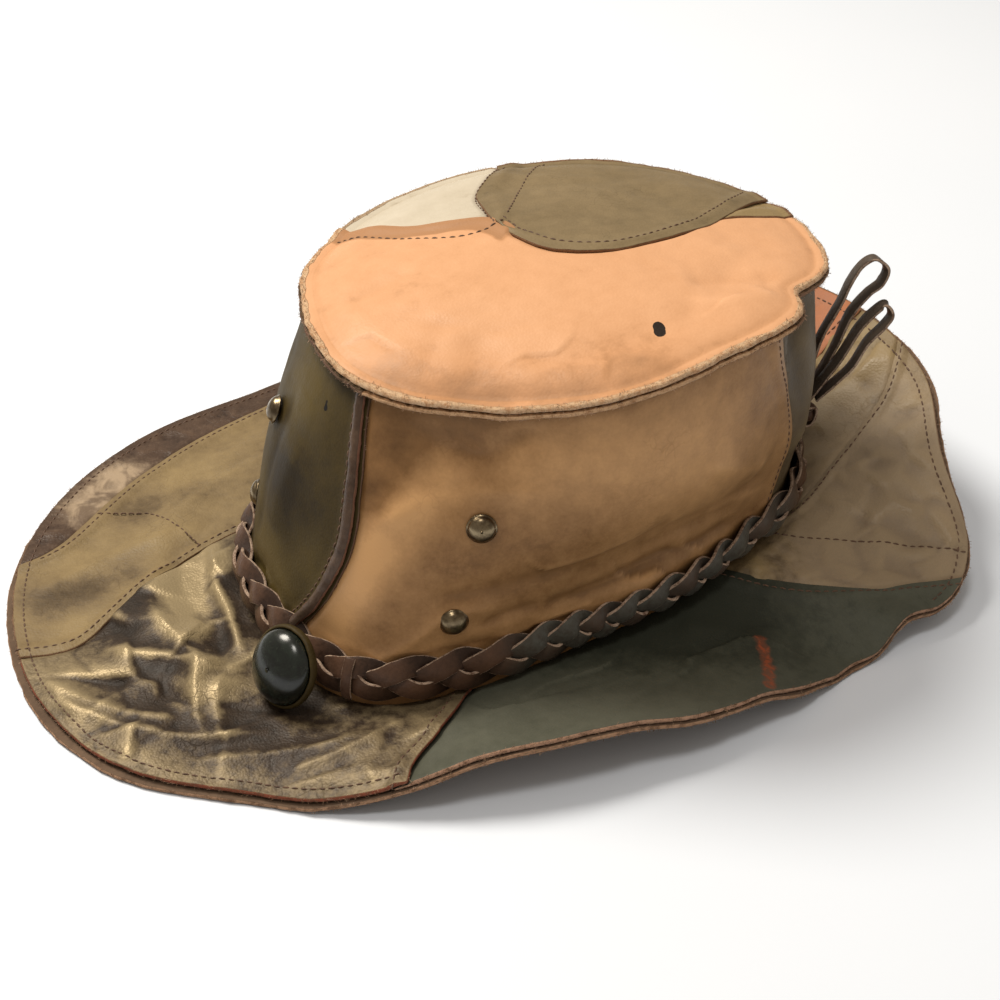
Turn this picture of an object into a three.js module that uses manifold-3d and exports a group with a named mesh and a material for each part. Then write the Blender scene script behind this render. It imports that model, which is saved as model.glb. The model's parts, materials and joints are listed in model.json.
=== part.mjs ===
// A patchwork leather bush hat: a crown of side panels and a sewn tip, a wide two-layer brim,
// dome studs, and a braided band with a polished stone and a bow of thong.
// Millimetres, +Z up. The front, with the stone, faces -Y. The hat rests on its brim.
import * as THREE from 'three';
import { RoundedBoxGeometry } from 'three/addons/geometries/RoundedBoxGeometry.js';
import { mergeVertices } from 'three/addons/utils/BufferGeometryUtils.js';
import Module from 'manifold-3d';

const wasm = await Module();
wasm.setup();

// Leather
const LEATHER = 1.8;          // crown panels and the brim's upper patches
const FACING = 1.5;           // the brim's lower layer
const GAP = 0.3;              // between layers that touch
const SEAM_GAP = 0.6;         // between neighbouring patches, along the arc
const FOOT_GAP = 0.6;         // the brim to the crown's foot
const BRIM_STACK = FACING + GAP + LEATHER + FOOT_GAP;   // the brim's floor side to the crown

// Crown
const LIP = 4.6;              // seam allowance that stands out round the top
const LIP_DROOP = 0.6;
const TIP_DOME = 9;           // rise of the tip's middle above its seam
const TIP_DOME_POWER = 2.2;
const TIP_LEVEL = 109;        // mean height of the top seam in SEAM
const SWELL = 4.5;            // outward bulge of the side, above the band
const SWELL_FROM = 0.2;

// Brim
const BRIM_INSET = 2.4;       // the brim reaches this far in under the crown's foot
const BRIM_EASE = 1.25;       // the brim starts level at the foot, then rises
const RIM_TRIM = 0.8;         // the patches stop this far inside the facing's edge
const SOFT = 1.5;             // softens the line where the leather meets the floor

// Band, stone and studs
const BAND_WIDE = 15.5;
const BAND_THICK = 5.4;
const BAND_CLEAR = 0.5;       // band to crown
const BAND_LIFT = 2.3;        // band to brim
const STONE = { at: 291, wide: 24, tall: 25.5, dome: 7, girdle: 1.4, out: 10.6, up: 12.2, lean: 24 };
const SETTING = { margin: 1.4, thick: 1.8 };
const STUD = { radius: 5, dome: 3, seat: 0.7, shank: 1.1, head: 2.6, headThick: 0.8 };
const HOLE_RADIUS = 1.5;
const THONG = { wide: 4.4, thick: 1.2 };
// from and to: parts of the side's height
const WELT = { wide: 3, thick: 1.8, seat: 0.4, from: 0.23, to: 0.965 };
// wrap: degrees each way round the band
const KEEPER = { at: 301, wide: 3.4, thick: 1.1, wrap: 62 };
const MEAN_REACH = 90;        // of the crown, to turn a gap into an angle
const SIDE_HEIGHT = 100;      // of the crown's side, to turn a height into a part of it

// Where the crown meets the brim. at: degrees from +X towards +Y; reach: from the axis;
// rise: of the brim's floor side.
const FOOT = [
  { at: 0, reach: 67.5, rise: 9.5 }, { at: 25, reach: 71.5, rise: 12 }, { at: 45, reach: 81, rise: 15 },
  { at: 62, reach: 97, rise: 17 }, { at: 80, reach: 107, rise: 18 }, { at: 100, reach: 107, rise: 18 },
  { at: 125, reach: 96, rise: 16 }, { at: 150, reach: 88, rise: 13 }, { at: 180, reach: 84, rise: 10 },
  { at: 205, reach: 84, rise: 8 }, { at: 230, reach: 91, rise: 6 }, { at: 255, reach: 98, rise: 5 },
  { at: 275, reach: 100, rise: 5 }, { at: 292, reach: 102.5, rise: 4 },
  { at: 305, reach: 100, rise: 3.5 }, { at: 320, reach: 87, rise: 5 },
  { at: 340, reach: 72.5, rise: 7.5 },
];
// The seam round the top of the crown, at the middle of its lip.
const SEAM = [
  { at: 0, reach: 80, rise: 109 }, { at: 20, reach: 84, rise: 113 }, { at: 36, reach: 92, rise: 114 },
  { at: 50, reach: 98, rise: 113.5 }, { at: 75, reach: 107, rise: 109.5 },
  { at: 100, reach: 111, rise: 107.5 }, { at: 125, reach: 105, rise: 108 },
  { at: 150, reach: 92, rise: 108.5 }, { at: 180, reach: 79.5, rise: 107 },
  { at: 210, reach: 72.5, rise: 105 }, { at: 235, reach: 69.5, rise: 106 },
  { at: 258, reach: 67.5, rise: 106 }, { at: 285, reach: 72, rise: 105 },
  { at: 305, reach: 73, rise: 104 }, { at: 322, reach: 71, rise: 103 },
  { at: 340, reach: 73, rise: 105 },
];
// The brim's edge. A rise below zero lies flat on the floor.
const RIM = [
  { at: 0, reach: 121.5, rise: 14 }, { at: 8, reach: 122.5, rise: 12 },
  { at: 14, reach: 124, rise: 11 }, { at: 20, reach: 126.5, rise: 7 },
  { at: 26, reach: 128.5, rise: 3 }, { at: 33, reach: 132, rise: -1.5 },
  { at: 38, reach: 138, rise: 1.5 }, { at: 43, reach: 144, rise: 8 }, { at: 47, reach: 154, rise: 7.5 },
  { at: 52, reach: 161, rise: 10 }, { at: 58, reach: 163.5, rise: 18 },
  { at: 68, reach: 158.5, rise: 36 }, { at: 80, reach: 165, rise: 48 },
  { at: 92, reach: 165.5, rise: 54 }, { at: 105, reach: 166, rise: 54 },
  { at: 122, reach: 166, rise: 44 }, { at: 140, reach: 164, rise: 28 },
  { at: 160, reach: 162, rise: 9 }, { at: 180, reach: 160, rise: -2 },
  { at: 196, reach: 159, rise: -4 }, { at: 212, reach: 169, rise: -4 },
  { at: 228, reach: 177, rise: -4 }, { at: 242, reach: 181, rise: -4 },
  { at: 258, reach: 181, rise: -4 }, { at: 272, reach: 179, rise: -4 },
  { at: 285, reach: 171.5, rise: -4 }, { at: 298, reach: 154, rise: -2.5 },
  { at: 308, reach: 145.5, rise: 1.5 }, { at: 318, reach: 137, rise: 8 },
  { at: 328, reach: 129, rise: 16 }, { at: 338, reach: 124, rise: 18 },
  { at: 350, reach: 120, rise: 17 },
];
// Dents and swellings of the crown's side: a push outwards that fades over spread degrees
// and over tall, a part of the side's height.
const FOLDS = [
  { at: 318, spread: 9, up: 0.82, tall: 0.13, push: -5 },     // dimple under the front seam
  { at: 303, spread: 10, up: 0.36, tall: 0.22, push: 3 },     // swelling beside the front seam
  { at: 15, spread: 20, up: 0.34, tall: 0.1, push: -3 },      // long hollow above the band
  { at: 20, spread: 24, up: 0.17, tall: 0.07, push: 1.5 },    // roll that hangs over the band
  { at: 54, spread: 6, up: 0.95, tall: 0.3, push: -7 },       // tuck at the corner of the top
  { at: 262, spread: 14, up: 0.5, tall: 0.35, push: 2 },      // front of the dark olive panel
];
// Seams of the side, as the angle where each lies at a part of the side's height.
const OLIVE_TAN = [
  { up: 0, at: 281 }, { up: 0.14, at: 285 }, { up: 0.27, at: 290.5 }, { up: 0.42, at: 295 },
  { up: 0.55, at: 297 }, { up: 0.73, at: 296 }, { up: 0.87, at: 294 }, { up: 1, at: 292.5 },
];
const TAN_GREY = [
  { up: 0, at: 411 }, { up: 0.25, at: 414 }, { up: 0.54, at: 411 }, { up: 0.84, at: 402.5 },
  { up: 1, at: 400 },
];
const GREY_BROWN = [{ up: 0, at: 457 }, { up: 1, at: 454 }];
const BROWN_KHAKI = [{ up: 0, at: 150 }, { up: 1, at: 151 }];
const KHAKI_OLIVE = [{ up: 0, at: 222 }, { up: 1, at: 220 }];
// Seams of the brim, from the foot (0) to the rim (1).
const SLATE_KHAKI = [
  { out: 0, at: 40 }, { out: 0.25, at: 41.5 }, { out: 0.64, at: 45 }, { out: 0.8, at: 49 },
  { out: 1, at: 52 },
];
const KHAKI_DIAGONAL = [
  { out: 0, at: 60 }, { out: 0.28, at: 71.5 }, { out: 0.51, at: 77 }, { out: 0.75, at: 81 },
  { out: 1, at: 87 },
];
const KHAKI_RUST = [{ out: 0, at: 96 }, { out: 1, at: 96 }];
const RUST_BROWN = [{ out: 0, at: 128 }, { out: 1, at: 131 }];
const BROWN_LEFT = [{ out: 0, at: 158 }, { out: 1, at: 162 }];
const LEFT_BRONZE = [
  { out: 0, at: 232 }, { out: 0.11, at: 237 }, { out: 0.37, at: 249.5 }, { out: 0.71, at: 261 },
  { out: 1, at: 261 },
];
const BRONZE_SLATE = [
  { out: 0, at: 322 }, { out: 0.53, at: 320 }, { out: 0.76, at: 318 }, { out: 1, at: 318 },
];
// Inner edge of the dark piece along the rim at the left.
const DARK_EDGE = [
  { at: 164, out: 1.06 }, { at: 170, out: 0.92 }, { at: 182, out: 0.83 }, { at: 198, out: 0.78 },
  { at: 212, out: 0.74 }, { at: 228, out: 0.75 }, { at: 237, out: 0.79 }, { at: 242, out: 0.87 },
  { at: 246, out: 1.06 },
];
// Seams of the tip, in plan. They meet at its cusp.
const CUSP = { x: -23, y: 8 };
const PEACH_EDGE = [
  { x: -84, y: -47 }, { x: -46, y: -20 }, { x: -34, y: -6 }, { x: -29, y: 4 }, CUSP, { x: -12, y: 9.5 },
  { x: 2, y: 17 }, { x: 10, y: 35 }, { x: 6, y: 62 }, { x: -3, y: 84 }, { x: 3, y: 124 },
];
const CREAM_OLIVE = [CUSP, { x: -37, y: 11 }, { x: -55, y: 17 }, { x: -73, y: 33 }, { x: -90, y: 48 }];
const KHAKI_EDGE = [{ x: 0, y: 80 }, { x: -10, y: 97 }, { x: -24, y: 124 }];
// A point inside each patch, to tell them apart once cut.
const BRIM_PATCHES = [
  { name: 'brim_slate', at: 0, out: 0.5, shade: 'slate' },
  { name: 'brim_khaki_lower', at: 56, out: 0.5, shade: 'khaki' },
  { name: 'brim_khaki_upper', at: 88, out: 0.5, shade: 'khaki' },
  { name: 'brim_rust', at: 112, out: 0.5, shade: 'rust' },
  { name: 'brim_brown', at: 145, out: 0.5, shade: 'brown' },
  { name: 'brim_khaki_left', at: 205, out: 0.5, shade: 'khaki' },
  { name: 'brim_dark_edge', at: 212, out: 0.9, shade: 'brown' },
  { name: 'brim_bronze', at: 290, out: 0.5, shade: 'bronze' },
];
const TIP_PATCHES = [
  { name: 'tip_peach', x: 30, y: 0, shade: 'peach' },
  { name: 'tip_cream', x: -55, y: 0, shade: 'cream' },
  { name: 'tip_olive', x: -30, y: 50, shade: 'taupe' },
  { name: 'tip_khaki', x: -6, y: 104, shade: 'khaki' },
];

const STUDS = [
  { name: 'stud_tan_high', at: 325, up: 0.62 },
  { name: 'stud_tan_low', at: 319, up: 0.28 },
  { name: 'stud_olive_high', at: 255.5, up: 0.68 },
  { name: 'stud_olive_low', at: 247, up: 0.27 },
];
const LOST_STUD = { at: 281, up: 0.88 };    // a hole where a stud is gone
// The bow's thongs, points along each loop.
const KNOT = { x: 18, y: 111.6, z: 44.8, wide: 17, deep: 7, tall: 11, round: 2.5, turn: -9 };
const LOOP_LARGE = [
  { x: 15.5, y: 113, z: 50.8 }, { x: 18, y: 116.5, z: 72 }, { x: 22, y: 121, z: 88 },
  { x: 24, y: 123, z: 97 }, { x: 26, y: 126, z: 104 }, { x: 29, y: 129, z: 107 },
  { x: 32, y: 132, z: 104 }, { x: 31, y: 131, z: 98 }, { x: 28, y: 128, z: 93 },
  { x: 24.5, y: 124, z: 84 }, { x: 22, y: 120.5, z: 70 }, { x: 16.5, y: 115.6, z: 50.8 },
];
const LOOP_SMALL = [
  { x: 21, y: 112, z: 50.8 }, { x: 26.5, y: 120, z: 68 }, { x: 29, y: 125, z: 80 },
  { x: 32, y: 128.5, z: 87 }, { x: 35, y: 131, z: 91 }, { x: 37.5, y: 132, z: 88 },
  { x: 36, y: 130, z: 83 }, { x: 33, y: 126, z: 76 }, { x: 31, y: 121.5, z: 66 },
  { x: 22.5, y: 114.6, z: 50.8 },
];
const BOW_TURN = -10;         // degrees from +X to the way the thongs are flat

const degrees = Math.PI / 180;

// Value of a column at an angle, smooth and closed round the hat.
function around(rows, column, at) {
  const count = rows.length;
  const wrapped = ((at - rows[0].at) % 360 + 360) % 360 + rows[0].at;
  let row = 0;
  while (row < count - 1 && rows[row + 1].at <= wrapped) row += 1;
  const angle = (k) => rows[(k + count) % count].at + 360 * Math.floor(k / count);
  const value = (k) => rows[(k + count) % count][column];
  return hermite(
    [angle(row - 1), angle(row), angle(row + 1), angle(row + 2)],
    [value(row - 1), value(row), value(row + 1), value(row + 2)],
    wrapped,
  );
}

// Cubic through the middle two of four points, with the slopes of their neighbours.
function hermite(xs, ys, x) {
  const span = xs[2] - xs[1];
  const t = (x - xs[1]) / span;
  const slopeIn = (ys[2] - ys[0]) / (xs[2] - xs[0]);
  const slopeOut = (ys[3] - ys[1]) / (xs[3] - xs[1]);
  return (2 * t ** 3 - 3 * t ** 2 + 1) * ys[1] + (t ** 3 - 2 * t ** 2 + t) * span * slopeIn
    + (-2 * t ** 3 + 3 * t ** 2) * ys[2] + (t ** 3 - t ** 2) * span * slopeOut;
}

// Value of a column along an open table, smooth inside it and straight past its ends.
function along(rows, from, column, x) {
  const last = rows.length - 1;
  let row = 0;
  while (row < last - 1 && rows[row + 1][from] <= x) row += 1;
  const at = (k) => {
    if (k < 0) return 2 * rows[0][from] - rows[1][from];
    if (k > last) return 2 * rows[last][from] - rows[last - 1][from];
    return rows[k][from];
  };
  const value = (k) => {
    if (k < 0) return 2 * rows[0][column] - rows[1][column];
    if (k > last) return 2 * rows[last][column] - rows[last - 1][column];
    return rows[k][column];
  };
  const limits = [row - 1, row, row + 1, row + 2];
  return hermite(limits.map(at), limits.map(value), x);
}

const mix = (a, b, t) => a + (b - a) * t;
const polar = (at, reach, z) => new THREE.Vector3(
  reach * Math.cos(at * degrees), reach * Math.sin(at * degrees), z,
);

// Height with the part below the floor laid flat, and a soft start.
function settle(z) {
  if (z <= -SOFT) return 0;
  return z >= SOFT ? z : (z + SOFT) ** 2 / (4 * SOFT);
}

// Floor side of the brim. out runs from the foot (0) to the rim (1), less than 0 under the crown.
function brimUnder(at, out) {
  const reach = mix(around(FOOT, 'reach', at), around(RIM, 'reach', at), out);
  const lift = Math.max(out, 0) ** BRIM_EASE;
  return polar(at, reach, settle(mix(around(FOOT, 'rise', at), around(RIM, 'rise', at), lift)));
}

// Outside of the crown's side, from the foot (0) to the top seam (1).
function sidePoint(at, up) {
  const grown = Math.max(up - SWELL_FROM, 0) / (1 - SWELL_FROM);
  let reach = mix(around(FOOT, 'reach', at), around(SEAM, 'reach', at) - LIP / 2, up)
    + SWELL * Math.sin(Math.PI * Math.min(grown, 1));
  for (const fold of FOLDS) {
    const turn = ((at - fold.at + 540) % 360) - 180;
    reach += fold.push * Math.exp(-((turn / fold.spread) ** 2) - ((up - fold.up) / fold.tall) ** 2);
  }
  return polar(at, reach, mix(around(FOOT, 'rise', at), around(SEAM, 'rise', at), up) + BRIM_STACK);
}

// Unit normal of a surface given by two parameters, turned towards the given side.
function normalOf(surface, a, b, side) {
  const step = 0.02;
  const across = surface(a + step * 20, b).sub(surface(a - step * 20, b));
  const upward = surface(a, b + step).sub(surface(a, b - step));
  const normal = across.cross(upward).normalize();
  return normal.dot(side) < 0 ? normal.negate() : normal;
}

const outward = (at) => polar(at, 1, 0);
const UP = new THREE.Vector3(0, 0, 1);
const brimNormal = (at, out) => normalOf(brimUnder, at, Math.max(out, 0.03), UP);
const sideNormal = (at, up) => normalOf(sidePoint, at, Math.min(Math.max(up, 0.03), 0.97), outward(at));

// Underside of the tip over a plan point. depth runs from the seam (0) outwards over the lip (1).
function tipUnder(x, y, depth = 0) {
  const at = Math.atan2(y, x) / degrees;
  const crease = sidePoint(at, 1);
  const reach = Math.min(Math.hypot(x, y) / Math.hypot(crease.x, crease.y), 1);
  const level = mix(TIP_LEVEL, around(SEAM, 'rise', at), reach ** 2);
  const z = level + BRIM_STACK + LEATHER + GAP + TIP_DOME * (1 - reach ** TIP_DOME_POWER);
  return new THREE.Vector3(x, y, z - depth * LIP_DROOP);
}

// A wall of leather: a grid of outer and inner points closed round its edges.
function leather(columns, rows, point, ring = false) {
  const wide = ring ? columns : columns + 1;
  const tall = rows + 1;
  const positions = [];
  for (let i = 0; i < wide; i += 1) {
    for (let j = 0; j < tall; j += 1) {
      for (const place of point(i / columns, j)) positions.push(place.x, place.y, place.z);
    }
  }
  const vertex = (i, j, side) => ((i % wide) * tall + j) * 2 + side;
  const faces = [];
  const quad = (a, b, c, d) => faces.push(a, b, c, a, c, d);
  for (let i = 0; i < columns; i += 1) {
    for (let j = 0; j < rows; j += 1) {
      quad(vertex(i, j, 0), vertex(i + 1, j, 0), vertex(i + 1, j + 1, 0), vertex(i, j + 1, 0));
      quad(vertex(i, j, 1), vertex(i, j + 1, 1), vertex(i + 1, j + 1, 1), vertex(i + 1, j, 1));
    }
    quad(vertex(i, 0, 1), vertex(i + 1, 0, 1), vertex(i + 1, 0, 0), vertex(i, 0, 0));
    quad(vertex(i, rows, 0), vertex(i + 1, rows, 0), vertex(i + 1, rows, 1), vertex(i, rows, 1));
  }
  for (let j = 0; j < rows && !ring; j += 1) {
    quad(vertex(0, j, 0), vertex(0, j + 1, 0), vertex(0, j + 1, 1), vertex(0, j, 1));
    quad(
      vertex(columns, j, 1), vertex(columns, j + 1, 1),
      vertex(columns, j + 1, 0), vertex(columns, j, 0),
    );
  }
  return closed(positions, faces);
}

// Geometry of a closed body, its faces turned outwards.
function closed(positions, faces) {
  const corner = (k) => new THREE.Vector3(...positions.slice(3 * k, 3 * k + 3));
  let volume = 0;
  for (let f = 0; f < faces.length; f += 3) {
    volume += corner(faces[f]).dot(corner(faces[f + 1]).cross(corner(faces[f + 2])));
  }
  const turned = volume < 0 ? faces.slice().reverse() : faces;
  const geometry = new THREE.BufferGeometry();
  geometry.setAttribute('position', new THREE.Float32BufferAttribute(positions, 3));
  geometry.setIndex(turned);
  return geometry;
}

// A closed tube of a section swept round a closed path.
function sweptRing(steps, sides, point) {
  const positions = [];
  for (let i = 0; i < steps; i += 1) {
    for (let j = 0; j < sides; j += 1) {
      const place = point(i / steps, j / sides);
      positions.push(place.x, place.y, place.z);
    }
  }
  const vertex = (i, j) => (i % steps) * sides + (j % sides);
  const faces = [];
  for (let i = 0; i < steps; i += 1) {
    for (let j = 0; j < sides; j += 1) {
      faces.push(vertex(i, j), vertex(i + 1, j), vertex(i + 1, j + 1));
      faces.push(vertex(i, j), vertex(i + 1, j + 1), vertex(i, j + 1));
    }
  }
  return closed(positions, faces);
}

function solidOf(geometry) {
  const bare = geometry.clone();
  bare.deleteAttribute('normal');
  bare.deleteAttribute('uv');
  const merged = mergeVertices(bare, 1e-4);
  return new wasm.Manifold(new wasm.Mesh({
    numProp: 3,
    vertProperties: new Float32Array(merged.attributes.position.array),
    triVerts: new Uint32Array(merged.index.array),
  }));
}

function geometryOf(solid) {
  const mesh = solid.getMesh();
  const geometry = new THREE.BufferGeometry();
  geometry.setAttribute('position', new THREE.Float32BufferAttribute(mesh.vertProperties, 3));
  geometry.setIndex(Array.from(mesh.triVerts));
  return geometry;
}

const hat = new THREE.Group();

function finish(color, roughness, metalness = 0) {
  return new THREE.MeshStandardMaterial({ color, roughness, metalness });
}

function add(name, geometry, material) {
  const mesh = new THREE.Mesh(geometry, material);
  mesh.name = name;
  hat.add(mesh);
  return mesh;
}

// Turns and moves a mesh so that its +Y axis points along a direction.
function stand(mesh, place, direction, upright) {
  const across = upright.clone().cross(direction).normalize();
  const high = direction.clone().cross(across).normalize();
  mesh.quaternion.setFromRotationMatrix(new THREE.Matrix4().makeBasis(across, direction, high.negate()));
  mesh.position.copy(place);
  return mesh;
}

const shades = {
  peach: finish(0xf0bd88, 0.55), cream: finish(0xe1d7c3, 0.6), olive: finish(0x4b4830, 0.45),
  taupe: finish(0x827358, 0.6), khaki: finish(0x96805a, 0.65), tan: finish(0xaa8250, 0.5),
  grey: finish(0x695c4b, 0.6), brown: finish(0x4b3a30, 0.5), bronze: finish(0x5f503c, 0.4),
  slate: finish(0x4b524b, 0.6), rust: finish(0xa8714f, 0.65), facing: finish(0x9a6f4c, 0.85),
  braid: finish(0x4a3830, 0.5), stone: finish(0x16201a, 0.12), brass: finish(0x8a7448, 0.35, 1),
};

// Angles of the brim's columns, closer together where the rim turns sharply at the right.
function brimAngles() {
  const angles = [];
  const sharp = { from: 24, to: 60 };
  for (let at = 0; at < 360; at += at >= sharp.from && at < sharp.to ? 3 : 6) angles.push(at);
  return angles;
}

// One whole layer of the brim, a ring from under the crown to the rim.
function brimLayer(base, thick, trim) {
  const angles = brimAngles();
  const stops = [0, 0.05, 0.28, 0.55, 0.8, 1];
  return leather(angles.length, stops.length - 1, (u, j) => {
    const at = angles[Math.round(u * angles.length) % angles.length];
    const width = around(RIM, 'reach', at) - around(FOOT, 'reach', at);
    const out = mix(-BRIM_INSET, width - trim, stops[j]) / width;
    const under = brimUnder(at, out);
    const normal = brimNormal(at, out);
    return [
      under.clone().addScaledVector(normal, base + thick),
      under.clone().addScaledVector(normal, base),
    ];
  }, true);
}

// A thin upright wall along a path in plan, to cut a seam's gap with.
function seamCutter(spots) {
  const low = -20;
  const high = 160;
  const path = new THREE.CatmullRomCurve3(spots.map((spot) => new THREE.Vector3(spot.x, spot.y, 0)));
  return solidOf(leather(2 * spots.length, 1, (u, j) => {
    const centre = path.getPoint(u).setZ(j === 0 ? low : high);
    const aside = path.getTangent(u).cross(UP).multiplyScalar(SEAM_GAP / 2);
    return [centre.clone().add(aside), centre.clone().sub(aside)];
  }));
}

// Cuts a layer along its seams and gives each piece the name of the marker inside it.
function cutPatches(layer, seams, patches) {
  const cut = seams.reduce((solid, spots) => solid.subtract(seamCutter(spots)), solidOf(layer));
  for (const piece of cut.decompose()) {
    const named = patches.find((patch) => {
      const pin = new THREE.CylinderGeometry(0.5, 0.5, 4 * SIDE_HEIGHT, 6).rotateX(90 * degrees);
      return piece.intersect(solidOf(pin.translate(patch.x, patch.y, 0))).volume() > 0.1;
    });
    if (named) add(named.name, geometryOf(piece), shades[named.shade]);
  }
}

const brimSpot = ({ at, out }) => brimUnder(at, out);
const pastFoot = -0.12;
const pastRim = 1.08;

// A seam of the brim as plan points, run on past both edges.
function brimSeam(rows) {
  const outs = [pastFoot, 0, 0.15, 0.3, 0.45, 0.6, 0.75, 0.9, pastRim];
  return outs.map((out) => brimSpot({ at: along(rows, 'out', 'at', out), out }));
}

const seamAngle = (seam, from, x) => along(seam, from, 'at', x);
const turnedBy = (seam, turn) => seam.map((row) => ({ ...row, at: row.at + turn }));

// A side panel between two seams, with the lip that turns out under the tip's edge.
function buildPanel(first, last, columns) {
  const ups = [0, 0.14, 0.25, 0.38, 0.54, 0.7, 0.85, 1];
  const rows = ups.length;      // one more row of points than ups, for the lip
  return leather(columns, rows, (u, j) => {
    const up = ups[Math.min(j, rows - 1)];
    const half = SEAM_GAP / 2 / (MEAN_REACH * degrees);
    const at = mix(seamAngle(first, 'up', up) + half, seamAngle(last, 'up', up) - half, u);
    const outer = sidePoint(at, up);
    if (up < 1) return [outer, outer.clone().addScaledVector(sideNormal(at, up), -LEATHER)];
    if (j < rows) {
      const inner = outer.clone().addScaledVector(outward(at), -LEATHER);
      return [outer, inner.setZ(outer.z + LEATHER)];
    }
    const tip = outer.clone().addScaledVector(outward(at), LIP).setZ(outer.z - LIP_DROOP);
    return [tip, tip.clone().setZ(tip.z + LEATHER)];
  });
}

// A round hole through the side at a stud, as a solid to cut away.
function holeAt(at, up) {
  const drill = new THREE.Mesh(new THREE.CylinderGeometry(HOLE_RADIUS, HOLE_RADIUS, 4 * LEATHER, 10));
  stand(drill, sidePoint(at, up), sideNormal(at, up), UP);
  drill.updateMatrixWorld(true);
  const geometry = drill.geometry.clone().applyMatrix4(drill.matrixWorld);
  return solidOf(geometry);
}

function withHoles(geometry, places) {
  const drilled = places.reduce((solid, { at, up }) => solid.subtract(holeAt(at, up)), solidOf(geometry));
  return geometryOf(drilled);
}

// A dome stud with its shank and the flat head inside the crown.
function buildStud() {
  const { radius, dome, seat, shank, head, headThick } = STUD;
  const steps = 4;
  const profile = [];
  for (let k = 0; k <= steps; k += 1) {
    const turn = (k / steps) * 90 * degrees;
    profile.push(new THREE.Vector2(radius * Math.sin(turn), seat + dome * Math.cos(turn)));
  }
  const inner = -(LEATHER + seat);
  profile.push(new THREE.Vector2(shank, seat), new THREE.Vector2(shank, inner));
  profile.push(new THREE.Vector2(head, inner), new THREE.Vector2(head, inner - headThick));
  profile.push(new THREE.Vector2(0, inner - headThick));
  profile[0].x = 0;
  const bare = new THREE.LatheGeometry(profile.reverse(), 12);
  bare.deleteAttribute('normal');
  bare.deleteAttribute('uv');
  return dropSlivers(mergeVertices(bare, 1e-4));
}

// Leaves out triangles that share a corner twice, as at a lathe's poles.
function dropSlivers(geometry) {
  const index = geometry.index.array;
  const kept = [];
  for (let k = 0; k < index.length; k += 3) {
    const [a, b, c] = [index[k], index[k + 1], index[k + 2]];
    if (a !== b && b !== c && a !== c) kept.push(a, b, c);
  }
  return closed(Array.from(geometry.attributes.position.array), kept);
}

// The raised raw edge of the seam between the olive and tan panels.
function buildWelt() {
  const steps = 14;
  return leather(steps, 1, (u, j) => {
    const up = mix(WELT.from, WELT.to, u);
    const centre = seamAngle(OLIVE_TAN, 'up', up);
    const half = WELT.wide / 2 / (MEAN_REACH * degrees);
    const normal = sideNormal(centre, up);
    const skin = sidePoint(centre + (j === 0 ? -half : half), up);
    return [
      skin.clone().addScaledVector(normal, WELT.seat + WELT.thick),
      skin.clone().addScaledVector(normal, WELT.seat),
    ];
  });
}

// The braided band's outer form: a flattened tube round the crown's foot.
function bandCentre(at) {
  const height = (BAND_LIFT + BAND_WIDE / 2) / SIDE_HEIGHT;
  const normal = sideNormal(at, height);
  return { normal, centre: sidePoint(at, height).addScaledVector(normal, BAND_CLEAR + BAND_THICK / 2) };
}

function buildBand() {
  return sweptRing(76, 8, (u, v) => {
    const { normal, centre } = bandCentre(360 * u);
    const turn = (v + 1 / 16) * 2 * Math.PI;
    const high = outward(360 * u + 90).cross(normal).normalize();
    if (high.z < 0) high.negate();
    return centre
      .addScaledVector(normal, (BAND_THICK / 2) * Math.cos(turn))
      .addScaledVector(high, (BAND_WIDE / 2) * Math.sin(turn));
  });
}

// The stone: a polished oval, flat behind and domed in front.
function buildStone() {
  const { dome, girdle } = STONE;
  const steps = 6;
  const profile = [new THREE.Vector2(0, 0), new THREE.Vector2(0.94, 0), new THREE.Vector2(1, girdle * 0.5)];
  for (let k = 1; k <= steps; k += 1) {
    const turn = (k / steps) * 90 * degrees;
    profile.push(new THREE.Vector2(k === steps ? 0 : Math.cos(turn), girdle + dome * Math.sin(turn)));
  }
  return ovalLathe(profile, STONE.wide / 2, STONE.tall / 2, 24);
}

// A lathed form stretched to an oval.
function ovalLathe(profile, halfWide, halfTall, sides) {
  const bare = new THREE.LatheGeometry(profile, sides);
  bare.deleteAttribute('normal');
  bare.deleteAttribute('uv');
  bare.scale(halfWide, 1, halfTall);
  return dropSlivers(mergeVertices(bare, 1e-4));
}

// The leather rim that holds the stone, a shallow oval plate behind it.
function buildSetting() {
  const { margin, thick } = SETTING;
  const profile = [
    new THREE.Vector2(0, -thick), new THREE.Vector2(1, -thick), new THREE.Vector2(1, 0),
    new THREE.Vector2(0, 0),
  ];
  return ovalLathe(profile, STONE.wide / 2 + margin, STONE.tall / 2 + margin, 24);
}

function stoneFrame() {
  const base = sidePoint(STONE.at, 0);
  const face = outward(STONE.at).multiplyScalar(Math.cos(STONE.lean * degrees));
  face.z = Math.sin(STONE.lean * degrees);
  const place = base.addScaledVector(outward(STONE.at), STONE.out);
  place.z += STONE.up;
  return { place, face };
}

// The short strap that wraps the band beside the stone.
function buildKeeper() {
  const { at, wide, thick, wrap } = KEEPER;
  const { normal, centre } = bandCentre(at);
  const side = outward(at + 90);
  const high = side.clone().cross(normal).normalize();
  if (high.z < 0) high.negate();
  const columns = 8;
  return leather(columns, 1, (u, j) => {
    const turn = mix(-wrap, wrap, u) * degrees;
    const spot = (extra) => centre.clone()
      .addScaledVector(normal, (BAND_THICK / 2 + GAP + extra) * Math.cos(turn))
      .addScaledVector(high, (BAND_WIDE / 2 + GAP + extra) * Math.sin(turn))
      .addScaledVector(side, (j - 0.5) * wide);
    return [spot(thick), spot(0)];
  });
}

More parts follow.
